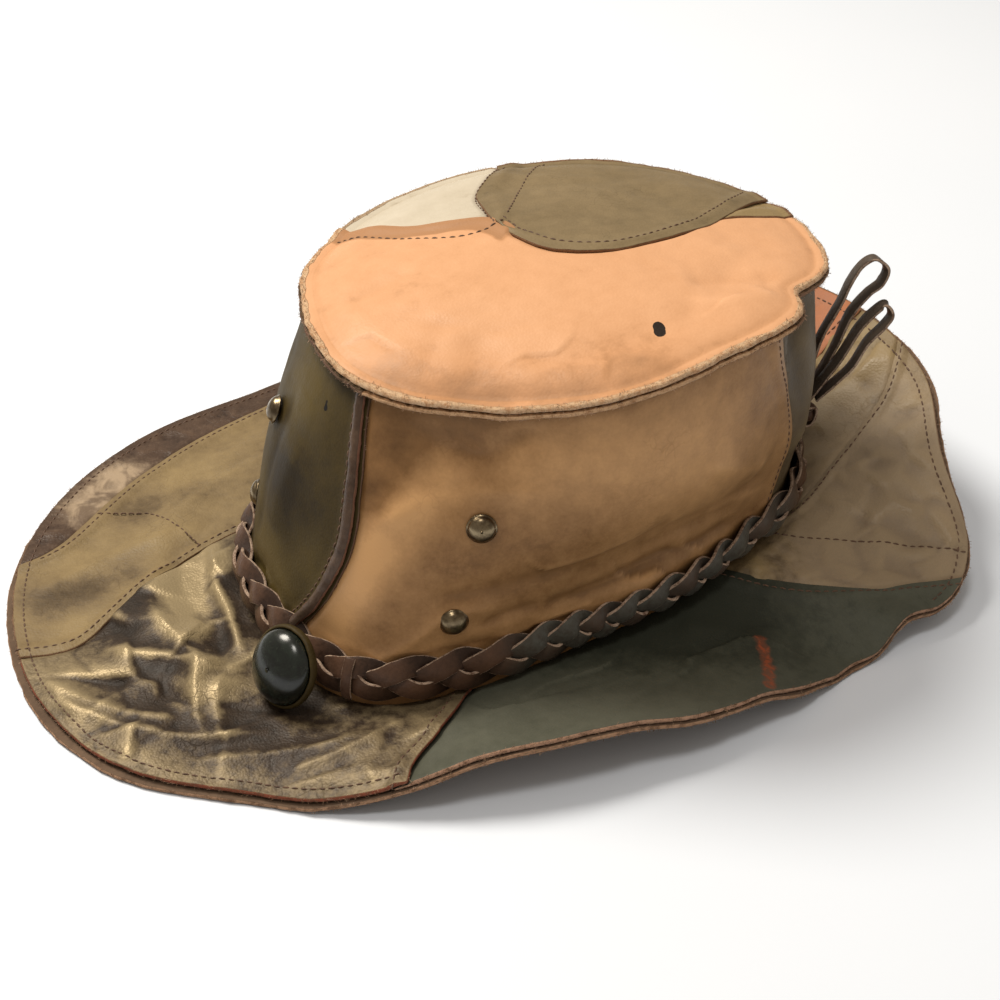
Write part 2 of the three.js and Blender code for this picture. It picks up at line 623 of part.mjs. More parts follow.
// A thong along an open path, flat across the given direction.
function buildThong(points, across) {
  const path = new THREE.CatmullRomCurve3(points.map((p) => new THREE.Vector3(p.x, p.y, p.z)));
  const steps = 2 * points.length;
  return leather(steps, 1, (u, j) => {
    const centre = path.getPoint(u);
    const normal = path.getTangent(u).cross(across).normalize();
    const edge = centre.clone().addScaledVector(across, (j - 0.5) * THONG.wide);
    return [
      edge.clone().addScaledVector(normal, THONG.thick / 2),
      edge.clone().addScaledVector(normal, -THONG.thick / 2),
    ];
  });
}

// The whole tip, a shallow dome with its lip laid on the side's lip.
function tipLayer() {
  const rings = [0, 0.4, 0.75, 1];
  const lipRow = rings.length;
  const bare = leather(54, lipRow, (u, j) => {
    const at = 360 * u;
    const crease = sidePoint(at, 1);
    const reach = Math.hypot(crease.x, crease.y);
    const spot = polar(at, j === lipRow ? reach + LIP : reach * rings[j], 0);
    const under = tipUnder(spot.x, spot.y, j === lipRow ? 1 : 0);
    return [under.clone().setZ(under.z + LEATHER), under];
  }, true);
  return dropSlivers(mergeVertices(bare, 1e-4));
}

// Brim
add('brim_facing', brimLayer(0, FACING, 0), shades.facing);
const brimSeams = [
  SLATE_KHAKI, KHAKI_DIAGONAL, KHAKI_RUST, RUST_BROWN, BROWN_LEFT, LEFT_BRONZE, BRONZE_SLATE,
];
cutPatches(
  brimLayer(FACING + GAP, LEATHER, RIM_TRIM),
  [...brimSeams.map(brimSeam), DARK_EDGE.map(brimSpot)],
  BRIM_PATCHES.map((patch) => ({ ...patch, x: brimSpot(patch).x, y: brimSpot(patch).y })),
);

// Crown side
const tanStuds = STUDS.slice(0, 2);
const oliveStuds = [...STUDS.slice(2), LOST_STUD];
add('side_tan', withHoles(buildPanel(OLIVE_TAN, TAN_GREY, 22), tanStuds), shades.tan);
add('side_grey', buildPanel(TAN_GREY, GREY_BROWN, 10), shades.grey);
add('side_brown', buildPanel(turnedBy(GREY_BROWN, -360), BROWN_KHAKI, 9), shades.brown);
add('side_khaki', buildPanel(BROWN_KHAKI, KHAKI_OLIVE, 12), shades.khaki);
add('side_olive', withHoles(buildPanel(KHAKI_OLIVE, OLIVE_TAN, 12), oliveStuds), shades.olive);
add('front_seam_welt', buildWelt(), shades.brown);

// Crown tip
cutPatches(tipLayer(), [PEACH_EDGE, CREAM_OLIVE, KHAKI_EDGE], TIP_PATCHES);

// Studs
for (const { name, at, up } of STUDS) {
  stand(add(name, buildStud(), shades.brass), sidePoint(at, up), sideNormal(at, up), UP);
}

// Band, stone and bow
add('braided_band', buildBand(), shades.braid);
add('band_keeper', buildKeeper(), shades.braid);
const { place, face } = stoneFrame();
stand(add('stone', buildStone(), shades.stone), place, face, UP);
const behind = place.clone().addScaledVector(face, -GAP);
stand(add('stone_setting', buildSetting(), shades.braid), behind, face, UP);
const acrossBow = outward(BOW_TURN);
add('tie_loop_large', buildThong(LOOP_LARGE, acrossBow), shades.braid);
add('tie_loop_small', buildThong(LOOP_SMALL, acrossBow), shades.braid);
const wraps = new RoundedBoxGeometry(KNOT.wide, KNOT.deep, KNOT.tall, 2, KNOT.round);
const knot = add('tie_knot', wraps, shades.braid);
knot.rotation.z = KNOT.turn * degrees;
knot.position.set(KNOT.x, KNOT.y, KNOT.z);

// The origin is at the middle of the hat's box in plan, on the floor.
hat.updateMatrixWorld(true);
const box = new THREE.Box3().setFromObject(hat);
hat.position.set(-(box.min.x + box.max.x) / 2, -(box.min.y + box.max.y) / 2, -box.min.z);

export default hat;
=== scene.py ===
# %% [markdown]
# Patchwork leather hat
#
# The hat is sewn from offcuts: five panels round the crown, four on its top, eight patches on the
# brim over one lower layer, a braided band with a polished stone, and a small bow of thong.
# The CAD frame gives the sizes. This lesson lays detailed leather over that frame: real laps and
# raw edges, folds, stitches, a true three-strand braid, and procedural finishes.
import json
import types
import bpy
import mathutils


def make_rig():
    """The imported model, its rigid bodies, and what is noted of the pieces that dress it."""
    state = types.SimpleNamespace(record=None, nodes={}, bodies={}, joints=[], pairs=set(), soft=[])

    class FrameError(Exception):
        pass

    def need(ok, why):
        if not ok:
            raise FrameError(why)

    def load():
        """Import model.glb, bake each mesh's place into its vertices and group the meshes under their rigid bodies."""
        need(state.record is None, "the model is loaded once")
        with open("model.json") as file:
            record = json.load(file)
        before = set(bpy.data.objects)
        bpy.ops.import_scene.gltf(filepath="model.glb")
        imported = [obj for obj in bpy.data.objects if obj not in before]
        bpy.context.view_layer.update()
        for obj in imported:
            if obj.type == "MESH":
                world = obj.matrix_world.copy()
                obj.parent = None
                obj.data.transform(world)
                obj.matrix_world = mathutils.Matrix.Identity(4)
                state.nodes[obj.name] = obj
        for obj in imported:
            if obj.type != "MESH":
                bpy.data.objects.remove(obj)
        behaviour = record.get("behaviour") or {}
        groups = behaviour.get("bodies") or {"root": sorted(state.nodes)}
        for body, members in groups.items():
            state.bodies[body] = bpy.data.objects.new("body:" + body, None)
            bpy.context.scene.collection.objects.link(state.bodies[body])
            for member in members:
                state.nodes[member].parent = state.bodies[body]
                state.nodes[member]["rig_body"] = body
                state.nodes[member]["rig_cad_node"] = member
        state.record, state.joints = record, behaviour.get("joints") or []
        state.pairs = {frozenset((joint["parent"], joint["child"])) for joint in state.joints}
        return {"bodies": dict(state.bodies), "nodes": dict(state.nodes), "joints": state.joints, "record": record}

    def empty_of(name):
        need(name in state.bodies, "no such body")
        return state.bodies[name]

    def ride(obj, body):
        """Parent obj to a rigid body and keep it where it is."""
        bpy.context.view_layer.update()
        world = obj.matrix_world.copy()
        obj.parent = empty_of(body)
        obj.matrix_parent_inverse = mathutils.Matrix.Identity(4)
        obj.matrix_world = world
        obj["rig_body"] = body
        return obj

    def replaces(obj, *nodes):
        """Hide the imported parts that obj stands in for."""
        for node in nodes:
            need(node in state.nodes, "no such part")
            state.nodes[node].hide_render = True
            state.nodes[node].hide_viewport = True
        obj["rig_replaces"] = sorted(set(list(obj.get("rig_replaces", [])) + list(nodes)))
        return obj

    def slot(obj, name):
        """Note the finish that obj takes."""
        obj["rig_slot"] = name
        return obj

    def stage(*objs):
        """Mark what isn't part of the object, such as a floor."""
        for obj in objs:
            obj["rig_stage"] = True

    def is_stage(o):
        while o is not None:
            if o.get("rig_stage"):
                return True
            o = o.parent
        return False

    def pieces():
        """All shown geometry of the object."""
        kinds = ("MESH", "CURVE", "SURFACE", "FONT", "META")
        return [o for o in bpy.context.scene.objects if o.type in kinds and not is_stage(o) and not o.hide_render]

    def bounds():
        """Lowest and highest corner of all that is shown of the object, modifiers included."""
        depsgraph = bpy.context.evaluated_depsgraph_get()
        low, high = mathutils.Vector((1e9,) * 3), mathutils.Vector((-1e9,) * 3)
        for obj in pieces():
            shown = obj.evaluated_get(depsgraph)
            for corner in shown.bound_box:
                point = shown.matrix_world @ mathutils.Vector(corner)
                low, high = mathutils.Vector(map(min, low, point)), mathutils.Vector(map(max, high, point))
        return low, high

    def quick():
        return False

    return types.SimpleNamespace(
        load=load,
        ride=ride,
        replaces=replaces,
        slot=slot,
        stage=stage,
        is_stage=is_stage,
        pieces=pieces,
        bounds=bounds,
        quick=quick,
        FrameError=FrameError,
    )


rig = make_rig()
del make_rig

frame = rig.load()
cad_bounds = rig.bounds()

import itertools
import json
import math

import bmesh
import bpy
import numpy as np
from mathutils import Vector
from mathutils.bvhtree import BVHTree

cad_size = [round(high - low, 4) for low, high in zip(*cad_bounds)]
print("Frame loaded with", len(frame["nodes"]), "nodes, in metres", cad_size)

# %% [markdown]
# Camera
#
# The camera looks at the hat from its front right, a little over a third of a right angle above
# the floor, from as far as a person stands when they lay a hat down and take its picture. It
# could track an empty, but a direction and a distance from one point are enough, and leave
# nothing live in the scene. It comes first, because everything after it is judged through it.

# %% Camera
CAMERA = {"at": -28.0, "above": 35.0, "distance": 0.7, "lens": 69.3, "shift": (-0.012, 0.028)}
LOOK_AT = Vector((0.01924, 0.00706, 0.0158))


def new_object(name, data):
    """An object in the scene, at the origin and unturned."""
    made = bpy.data.objects.new(name, data)
    bpy.context.scene.collection.objects.link(made)
    return made


def aim(made, centre, at, above, distance):
    """Stands a camera or a lamp off from a centre, at two angles in degrees, and turns it to look there."""
    turn, high = math.radians(at), math.radians(above)
    way = Vector((math.cos(turn) * math.cos(high), math.sin(turn) * math.cos(high), math.sin(high)))
    made.location = centre + way * distance
    made.rotation_euler = (-way).to_track_quat("-Z", "Y").to_euler()
    return made


def place_camera():
    data = bpy.data.cameras.new("camera")
    data.lens = CAMERA["lens"]
    data.shift_x, data.shift_y = CAMERA["shift"]
    camera = aim(new_object("camera", data), LOOK_AT, CAMERA["at"], CAMERA["above"], CAMERA["distance"])
    bpy.context.scene.camera = camera
    return camera


print("Camera at", [round(v, 3) for v in place_camera().location])

# %% [markdown]
# The hat's form
#
# A hat has no flat side and no true circle. It could be sculpted, or pressed over a dummy by a
# cloth simulation, but then nobody could say where a seam lies. So the form is written as short
# tables: how far the leather reaches from the crown's axis, and how high it lies, at some angles
# round the hat, with a smooth curve between the rows. The solid frame is built from the same
# tables, so the leather lies where the frame says. Form is worked out in millimetres and made
# metres only when a mesh is built.

# %% Sizes and tables of the form
MM = 0.001
AXIS = np.array([19.237, 7.062, 0.0])    # the crown's axis in the frame
LEATHER, FACING, GAP = 1.8, 1.5, 0.3     # a patch, the brim's lower layer, the air between them
BRIM_STACK = FACING + GAP + LEATHER + 0.6
LIP, LIP_DROOP = 4.6, 0.6                # the raw edge round the top: how wide, how far it hangs
TIP_DOME, TIP_DOME_POWER, TIP_LEVEL = 9.0, 2.2, 109.0
SWELL, SWELL_FROM = 4.5, 0.2             # the side bulges out, from this part of its height up
BRIM_INSET, BRIM_EASE, SOFT = 2.4, 1.25, 1.5
BAND_WIDE, BAND_THICK, BAND_CLEAR, BAND_LIFT = 15.5, 5.4, 0.5, 2.3
WALL_HIGH, WALL_REACH, TIP_REACH = 100.0, 86.0, 80.0     # round figures, to turn mm into parts
UP = np.array([0.0, 0.0, 1.0])


def columns(names, *rows):
    """A short table, as one array for each named column."""
    return dict(zip(names.split(), np.array(rows, float).T))


# Angles run in degrees from +X towards +Y, as everywhere below.
FOOT = columns(
    "at reach rise", (0, 67.5, 9.5), (25, 71.5, 12), (45, 81, 15), (62, 97, 17), (80, 107, 18),
    (100, 107, 18), (125, 96, 16), (150, 88, 13), (180, 84, 10), (205, 84, 8), (230, 91, 6),
    (255, 98, 5), (275, 100, 5), (292, 102.5, 4), (305, 100, 3.5), (320, 87, 5), (340, 72.5, 7.5),
)
SEAM = columns(
    "at reach rise", (0, 80, 109), (20, 84, 113), (36, 92, 114), (50, 98, 113.5), (75, 107, 109.5),
    (100, 111, 107.5), (125, 105, 108), (150, 92, 108.5), (180, 79.5, 107), (210, 72.5, 105),
    (235, 69.5, 106), (258, 67.5, 106), (285, 72, 105), (305, 73, 104), (322, 71, 103), (340, 73, 105),
)
RIM = columns(
    "at reach rise", (0, 121.5, 14), (8, 122.5, 12), (14, 124, 11), (20, 126.5, 7), (26, 128.5, 3),
    (33, 132, -1.5), (38, 138, 1.5), (43, 144, 8), (47, 154, 7.5), (52, 161, 10), (58, 163.5, 18),
    (68, 158.5, 36), (80, 165, 48), (92, 165.5, 54), (105, 166, 54), (122, 166, 44), (140, 164, 28),
    (160, 162, 9), (180, 160, -2), (196, 159, -4), (212, 169, -4), (228, 177, -4), (242, 181, -4),
    (258, 181, -4), (272, 179, -4), (285, 171.5, -4), (298, 154, -2.5), (308, 145.5, 1.5),
    (318, 137, 8), (328, 129, 16), (338, 124, 18), (350, 120, 17),
)
FOLDS = [    # at, spread in degrees, part of the height, tall, push outwards in mm
    (318, 9, 0.82, 0.13, -5), (303, 10, 0.36, 0.22, 3), (15, 20, 0.34, 0.1, -3),
    (20, 24, 0.17, 0.07, 1.5), (54, 6, 0.95, 0.3, -7), (262, 14, 0.5, 0.35, 2),
]


def between(xs, ys, row, x):
    """The cubic between two rows, with the slopes that their neighbours give."""
    (x0, y0), (x1, y1), (x2, y2), (x3, y3) = ((xs[row + k], ys[row + k]) for k in (-1, 0, 1, 2))
    span = x2 - x1
    t = (x - x1) / span
    slope_in, slope_out = (y2 - y0) / (x2 - x0), (y3 - y1) / (x3 - x1)
    return (
        (2 * t**3 - 3 * t**2 + 1) * y1 + (t**3 - 2 * t**2 + t) * span * slope_in
        + (-2 * t**3 + 3 * t**2) * y2 + (t**3 - t**2) * span * slope_out
    )


def around(table, column, at):
    """A column's value at an angle, smooth and closed round the hat."""
    first, values = table["at"], table[column]
    xs = np.concatenate([first[-2:] - 360, first, first[:2] + 360])
    ys = np.concatenate([values[-2:], values, values[:2]])
    turned = (at - first[0]) % 360 + first[0]
    return between(xs, ys, np.searchsorted(xs, turned, side="right") - 1, turned)


def along(table, source, column, x):
    """A column's value along an open table, straight past its ends."""
    xs, ys = (
        np.concatenate([[2 * v[0] - v[1]], v, [2 * v[-1] - v[-2]]]) for v in (table[source], table[column])
    )
    return between(xs, ys, np.clip(np.searchsorted(xs, x, side="right") - 1, 1, len(xs) - 3), x)


def mix(a, b, t):
    return a + (b - a) * t


def smooth(t):
    """0 below 0, 1 above 1, and an easy slope between."""
    t = np.clip(t, 0, 1)
    return t * t * (3 - 2 * t)


def polar(at, reach, rise):
    turn = np.radians(at)
    return np.stack(np.broadcast_arrays(reach * np.cos(turn), reach * np.sin(turn), rise), -1)


def unit(vectors):
    return vectors / np.maximum(np.linalg.norm(vectors, axis=-1, keepdims=True), 1e-9)


print("The crown's foot reaches", FOOT["reach"].min(), "to", FOOT["reach"].max(), "mm from its axis")
print("The rim reaches", RIM["reach"].min(), "to", RIM["reach"].max(), "mm")

# %% [markdown]
# Three surfaces
#
# A cutter thinks of a hat as three forms: the flat brim, the upright side and the tip that
# closes it. Each is a function here that turns an angle and a place into a point. NURBS surfaces
# could do this too, but a function can be asked for a point anywhere, which is how every seam,
# stitch and stud below finds the leather that it belongs to.

# %% Surfaces of the brim, the side and the tip
def settle(z):
    """Height with the part below the floor laid flat, and a soft start."""
    return np.where(z <= -SOFT, 0, np.where(z >= SOFT, z, (z + SOFT) ** 2 / (4 * SOFT)))


def brim_width(at):
    return around(RIM, "reach", at) - around(FOOT, "reach", at)


def brim_under(at, out):
    """Floor side of the brim, from the crown's foot (0) to the rim (1)."""
    reach = mix(around(FOOT, "reach", at), around(RIM, "reach", at), out)
    lift = np.maximum(out, 0) ** BRIM_EASE
    return polar(at, reach, settle(mix(around(FOOT, "rise", at), around(RIM, "rise", at), lift)))


def side_point(at, up):
    """Outside of the crown's side, from the foot (0) to the top seam (1)."""
    grown = np.clip((up - SWELL_FROM) / (1 - SWELL_FROM), 0, 1)
    reach = mix(around(FOOT, "reach", at), around(SEAM, "reach", at) - LIP / 2, up)
    reach = reach + SWELL * np.sin(np.pi * grown)
    for centre, spread, height, tall, push in FOLDS:
        turn = (at - centre + 540) % 360 - 180
        reach = reach + push * np.exp(-((turn / spread) ** 2) - ((up - height) / tall) ** 2)
    return polar(at, reach, mix(around(FOOT, "rise", at), around(SEAM, "rise", at), up) + BRIM_STACK)


def normal_of(surface, a, b, side):
    """Unit normal of a surface of two parameters, turned towards a side."""
    across = surface(a + 0.4, b) - surface(a - 0.4, b)
    upward = surface(a, b + 0.02) - surface(a, b - 0.02)
    normal = unit(np.cross(across, upward))
    return normal * np.where((normal * side).sum(-1, keepdims=True) < 0, -1, 1)


def brim_normal(at, out):
    return normal_of(brim_under, at, np.maximum(out, 0.03), UP)


def side_normal(at, up):
    return normal_of(side_point, at, np.clip(up, 0.03, 0.97), polar(at, 1, 0))


def crease_reach(at):
    """Reach of the corner between the side and the lip at its top."""
    return np.linalg.norm(side_point(at, 1.0)[..., :2], axis=-1)


def tip_under(at, out):
    """Underside of the tip, from the axis (0) to the top seam (1) and over the lip (2)."""
    crease = crease_reach(at)
    reach = crease * np.minimum(out, 1) + LIP * np.maximum(out - 1, 0)
    part = np.minimum(out, 1)
    level = mix(TIP_LEVEL, around(SEAM, "rise", at), part**2)
    rise = level + BRIM_STACK + LEATHER + GAP + TIP_DOME * (1 - part**TIP_DOME_POWER)
    return polar(at, reach, rise - np.maximum(out - 1, 0) * LIP_DROOP)


print("Brim is", round(float(brim_width(np.array(212.0))), 1), "mm wide at its widest side")

# %% [markdown]
# Noise for hand-made things
#
# Nothing on a worn hat is even: edges wander, thin leather crumples. Blender has a noise of its
# own, but a seeded lattice of random numbers, read smoothly between its points, works on a whole
# grid at once and gives the same hat on every run. Added up at several sizes it makes swells, its
# zero line makes creases, and tilted planes make the facets of stiff crumpled leather.

# %% Noise
def lattice_noise(points, size, seed):
    """Smooth noise from -1 to 1 at points, with features about size mm across."""
    cells = np.random.default_rng(seed).uniform(-1, 1, (32, 32, 32))
    scaled = np.asarray(points) / size
    base = np.floor(scaled).astype(int)
    part = scaled - base
    part = part**3 * (part * (part * 6 - 15) + 10)
    total = np.zeros(scaled.shape[:-1])
    for corner in itertools.product((0, 1), repeat=3):
        weight = np.prod(np.where(corner, part, 1 - part), axis=-1)
        spot = (base + corner) % 32
        total += weight * cells[spot[..., 0], spot[..., 1], spot[..., 2]]
    return total


def layered_noise(points, size, seed, layers=3):
    total = sum(lattice_noise(points, size / 2**k, seed + k) / 2**k for k in range(layers))
    return total / (2 - 2.0 ** (1 - layers))


def wrinkles(points, size, seed, sharp=0.12):
    """Thin winding creases: 1 along each crease, 0 between."""
    drift = np.stack([lattice_noise(points, size, seed + 50 + k) for k in range(3)], -1)
    return np.exp(-np.abs(lattice_noise(points + 0.35 * size * drift, size, seed)) / sharp)


def facets(points, size, seed, steep):
    """Height of crumpled leather: flat facets about size mm across, each tilted its own way."""
    rng = np.random.default_rng(seed)
    flat = points.reshape(-1, 3)
    spread = np.ptp(flat, axis=0)
    count = max(int(spread[0] * spread[1] / size**2), 6)
    homes = flat[rng.choice(len(flat), count, replace=False)]
    tilts = rng.normal(0, steep, homes.shape)
    away = flat[:, None] - homes[None]
    gap = np.linalg.norm(away, axis=-1)
    weight = np.exp(1.1 * (gap.min(1, keepdims=True) - gap))
    height = (weight * (away * tilts).sum(-1)).sum(1) / weight.sum(1)
    return height.reshape(points.shape[:-1])


walk = np.linspace([0.0, 0.0, 0.0], [300.0, 0.0, 0.0], 600)
swell = layered_noise(walk, 30, 1)
print("A swell of 30 mm runs from", round(float(swell.min()), 2), "to", round(float(swell.max()), 2))

# %% [markdown]
# Sheets of leather
#
# Leather has a smooth grain side, a suede flesh side and a cut edge. A plane with a Solidify
# modifier would be quicker, but its edge is square and all its sides look the same. So a sheet is
# a closed body: a grid for each side, and a rounded, slightly ragged cut edge all the way round.
# The mesh keeps three attributes that the finishes read: raw is 1 on the cut edge, flesh is 1 on
# the suede side, and tone says where the leather is darker or lighter, from wear and from painted
# light and shade.

# %% Grids, borders and meshes
CUT_STEPS = (0.2, 0.5, 0.8)     # loops round the cut edge, as parts of the thickness


def grid_lines(length, step, edge=0.35):
    """Places of a grid's lines from 0 to 1, with a narrow first and last row at the cut edge."""
    count = max(int(round(length / step)), 4)
    return np.concatenate([[0.0], np.linspace(edge / length, 1 - edge / length, count), [1.0]])


def grid_normals(points, side):
    normal = unit(np.cross(np.gradient(points, axis=0), np.gradient(points, axis=1)))
    return normal * (-1 if (normal * side).sum() < 0 else 1)


def grid_faces(index):
    corners = [index[:-1, :-1], index[1:, :-1], index[1:, 1:], index[:-1, 1:]]
    return np.stack(corners, -1).reshape(-1, 4)


def border_walks(rows, cols, ring):
    """The grid's border as closed walks of rows and columns, against the turn of its faces."""
    if ring:
        turn = np.arange(rows)
        return [(turn[::-1], np.zeros(rows, int)), (turn, np.full(rows, cols - 1))]
    top = [(0, j) for j in range(cols)]
    right = [(i, cols - 1) for i in range(1, rows)]
    bottom = [(rows - 1, j) for j in range(cols - 2, -1, -1)]
    left = [(i, 0) for i in range(rows - 2, 0, -1)]
    return [tuple(np.array(top + right + bottom + left).T)]


def outward_faces(points, faces):
    """The same faces, turned if the closed body is inside out."""
    a, b, c, d = (points[faces[:, k]] - points.mean(0) for k in range(4))
    volume = (a * np.cross(b, c)).sum() + (a * np.cross(c, d)).sum()
    return faces[:, ::-1] if volume < 0 else faces


def new_body(name, points, edges, faces):
    """An object from points in metres."""
    mesh = bpy.data.meshes.new(name)
    mesh.from_pydata(points, edges, faces)
    return new_object(name, mesh)


def new_piece(name, points, faces):
    """A smooth piece from points in mm round the crown's axis."""
    made = new_body(name, ((points + AXIS) * MM).tolist(), [], faces)
    made.data.shade_smooth()
    return made


def set_attribute(made, name, values):
    layer = made.data.attributes.new(name, "FLOAT", "POINT")
    layer.data.foreach_set("value", np.ascontiguousarray(values, np.float32))


print("A 60 mm edge in steps of 1.5 mm takes", len(grid_lines(60, 1.5)), "grid lines")


# %% One sheet of leather
def leather_sheet(name, outer, inner, tone, seed, ragged=0.22, ring=False, worn=0.0):
    """A closed sheet between two grids, with a ragged edge. worn is 1 where the grain is gone."""
    rows, cols = outer.shape[:2]
    count = rows * cols
    index = np.arange(count).reshape(rows, cols)
    spread = np.vstack([index, index[:1]]) if ring else index
    points, faces = [outer.reshape(-1, 3), inner.reshape(-1, 3)], [grid_faces(spread)]
    faces.append(grid_faces(spread + count)[:, ::-1])
    raw = [np.broadcast_to(worn, (rows, cols)).ravel(), np.zeros(count)]
    shade = [tone.ravel(), tone.ravel()]
    made = 2 * count
    for i, j in border_walks(rows, cols, ring):
        inside = (i if ring else np.clip(i, 1, rows - 2), np.clip(j, 1, cols - 2))
        out = unit(outer[i, j] + inner[i, j] - outer[inside] - inner[inside])
        thick = np.linalg.norm(outer[i, j] - inner[i, j], axis=-1)
        loops = [index[i, j]]
        for step in CUT_STEPS:
            edge = mix(outer[i, j], inner[i, j], step)
            wander = layered_noise(edge, 1.6, seed + 7, 2) + lattice_noise(edge, 7.0, seed + 9)
            bulge = 0.3 * thick * math.sin(math.pi * step) + ragged * wander
            points.append(edge + out * bulge[:, None])
            loops.append(made + np.arange(len(i)))
            made += len(i)
            raw.append(np.ones(len(i)))
            shade.append(tone[i, j])
        loops.append(count + index[i, j])
        for upper, lower in zip(loops, loops[1:]):
            faces.append(np.stack([upper, np.roll(upper, -1), np.roll(lower, -1), lower], -1))
    points = np.concatenate(points)
    points[:, 2] = np.maximum(points[:, 2], 0)      # the leather lies on the floor, not in it
    sheet = new_piece(name, points, outward_faces(points, np.concatenate(faces)).tolist())
    set_attribute(sheet, "raw", np.concatenate(raw))
    flesh = np.zeros(len(points))
    flesh[count:2 * count] = 1
    set_attribute(sheet, "flesh", flesh)
    set_attribute(sheet, "tone", np.concatenate(shade))
    return sheet


PIECES = {}


def keep(piece, nodes, slot):
    """Enters a finished piece: it rides on the hat, stands for its CAD nodes and takes a slot's finish."""
    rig.ride(piece, "root")
    if nodes:
        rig.replaces(piece, *nodes)
    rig.slot(piece, slot)
    PIECES[piece.name] = piece
    print(piece.name, "has", len(piece.data.polygons), "faces")
    return piece


print("The cut edge of a sheet turns in", len(CUT_STEPS) + 1, "steps")

# %% [markdown]
# Folds and creases
#
# A hat that has been worn and packed is full of folds. They could be sculpted, but a brush stroke
# can't be moved later. Here a fold is a line on the leather with a height, a width and a
# sharpness: soft leather bends in round rolls, thin coated leather in sharp ridges. Tone follows
# the folds: a ridge is rubbed lighter, and the valley is darkened, partly as dirt and partly as
# painted shade.

# %% Folds
def curve_at(spots, steps):
    """Places on the smooth curve through some spots. steps counts in spots, from 0."""
    count, rows = np.arange(float(len(spots))), np.array(spots, float).T
    return np.stack([along({"step": count, "spot": row}, "step", "spot", steps) for row in rows], -1)


def through(spots, per):
    """A smooth curve through spots, in per steps from each to the next."""
    return curve_at(spots, np.linspace(0, len(spots) - 1, per * (len(spots) - 1) + 1))


def line_on(surface, spots):
    return surface(*through(spots, 7).T)


def from_line(points, line):
    """Distance in mm of points from a line, and how far along the line (0 to 1) they are."""
    best = np.full(points.shape[:-1], 1e9)
    part = np.zeros(points.shape[:-1])
    for k, (start, end) in enumerate(zip(line, line[1:])):
        run = end - start
        t = np.clip(((points - start) * run).sum(-1) / max((run * run).sum(), 1e-9), 0, 1)
        gap = np.linalg.norm(points - start - t[..., None] * run, axis=-1)
        nearer = gap < best
        best = np.where(nearer, gap, best)
        part = np.where(nearer, (k + t) / (len(line) - 1), part)
    return best, part


def fold(points, line, height, width, sharp=1.2):
    """Height of a fold along a line, that fades towards its ends."""
    gap, part = from_line(points, line)
    shape = np.exp(-(np.sqrt(gap**2 + sharp**2) - sharp) / width)
    return height * shape * smooth(5 * part) * smooth(5 * (1 - part))


def spots_of(points, surface, rows):
    """Sum of soft round spots: angle, place, size in mm, strength."""
    total = np.zeros(points.shape[:-1])
    for at, place, size, strength in rows:
        centre = surface(np.array(float(at)), np.array(float(place)))
        total += strength * np.exp(-((np.linalg.norm(points - centre, axis=-1) / size) ** 2))
    return total


def fold_lines(surface, table):
    """The folds of a table, each with its line laid on the surface."""
    return [(*shape, line_on(surface, spots)) for *shape, spots in table]


def folds_at(points, lines):
    return sum(fold(points, line, height, width, sharp) for height, width, sharp, line in lines)


ridge = fold(np.array([[5.0, 0.0, 0.0]]), np.array([[0.0, 0.0, 0.0], [10.0, 0.0, 0.0]]), 2.0, 4.0)
print("A fold of 2 mm stands", round(float(ridge[0]), 2), "mm at its middle")

# %% [markdown]
# The brim
#
# The brim is one plain lower layer and eight patches on top of it that meet at lapped seams. It
# could be one mesh with the patches painted on, but then no patch would have an edge that catches
# the light. So a patch is a sheet of its own between two seams, from under the crown to the rim.
# The folds belong to the whole brim: all patches read one list, and a fold runs on across seams.

# %% Seams of the brim
def seam(*rows):
    """A seam as a function: its angle at a place between foot and rim, or foot and top."""
    table = columns("place at", *rows)
    return lambda place: along(table, "place", "at", place)


def back_a_turn(line):
    return lambda place: line(place) - 360


SLATE_KHAKI = seam((0, 40), (0.25, 41.5), (0.64, 45), (0.8, 49), (1, 52))
KHAKI_DIAGONAL = seam((0, 60), (0.28, 71.5), (0.51, 77), (0.75, 81), (1, 87))
KHAKI_RUST = seam((0, 96), (1, 96))
RUST_BROWN = seam((0, 128), (1, 131))
BROWN_LEFT = seam((0, 158), (1, 162))
LEFT_BRONZE = seam((0, 232), (0.11, 237), (0.37, 249.5), (0.71, 261), (1, 261))
BRONZE_SLATE = seam((0, 322), (0.53, 320), (0.76, 318), (1, 318))
DARK_EDGE = columns(
    "at out", (164, 1.06), (170, 0.92), (182, 0.83), (198, 0.78), (212, 0.74), (228, 0.75), (237, 0.79),
    (242, 0.87), (246, 1.06),
)
# How far inside the lower layer's edge the patches stop, wider at the front left.
TRIM = columns(
    "at trim", (0, 0.8), (60, 0.8), (150, 0.8), (215, 1), (240, 1.8), (262, 2.5), (284, 2.6), (300, 2),
    (318, 1), (340, 0.8),
)
NO_EDGE = 9.0       # a place far past the rim, where the dark edge doesn't reach


def dark_edge(at):
    inside = (at > DARK_EDGE["at"][0]) & (at < DARK_EDGE["at"][-1])
    return np.where(inside, along(DARK_EDGE, "at", "out", at), NO_EDGE)


print("The bronze patch turns", float(BRONZE_SLATE(1.0) - LEFT_BRONZE(1.0)), "degrees at the rim")


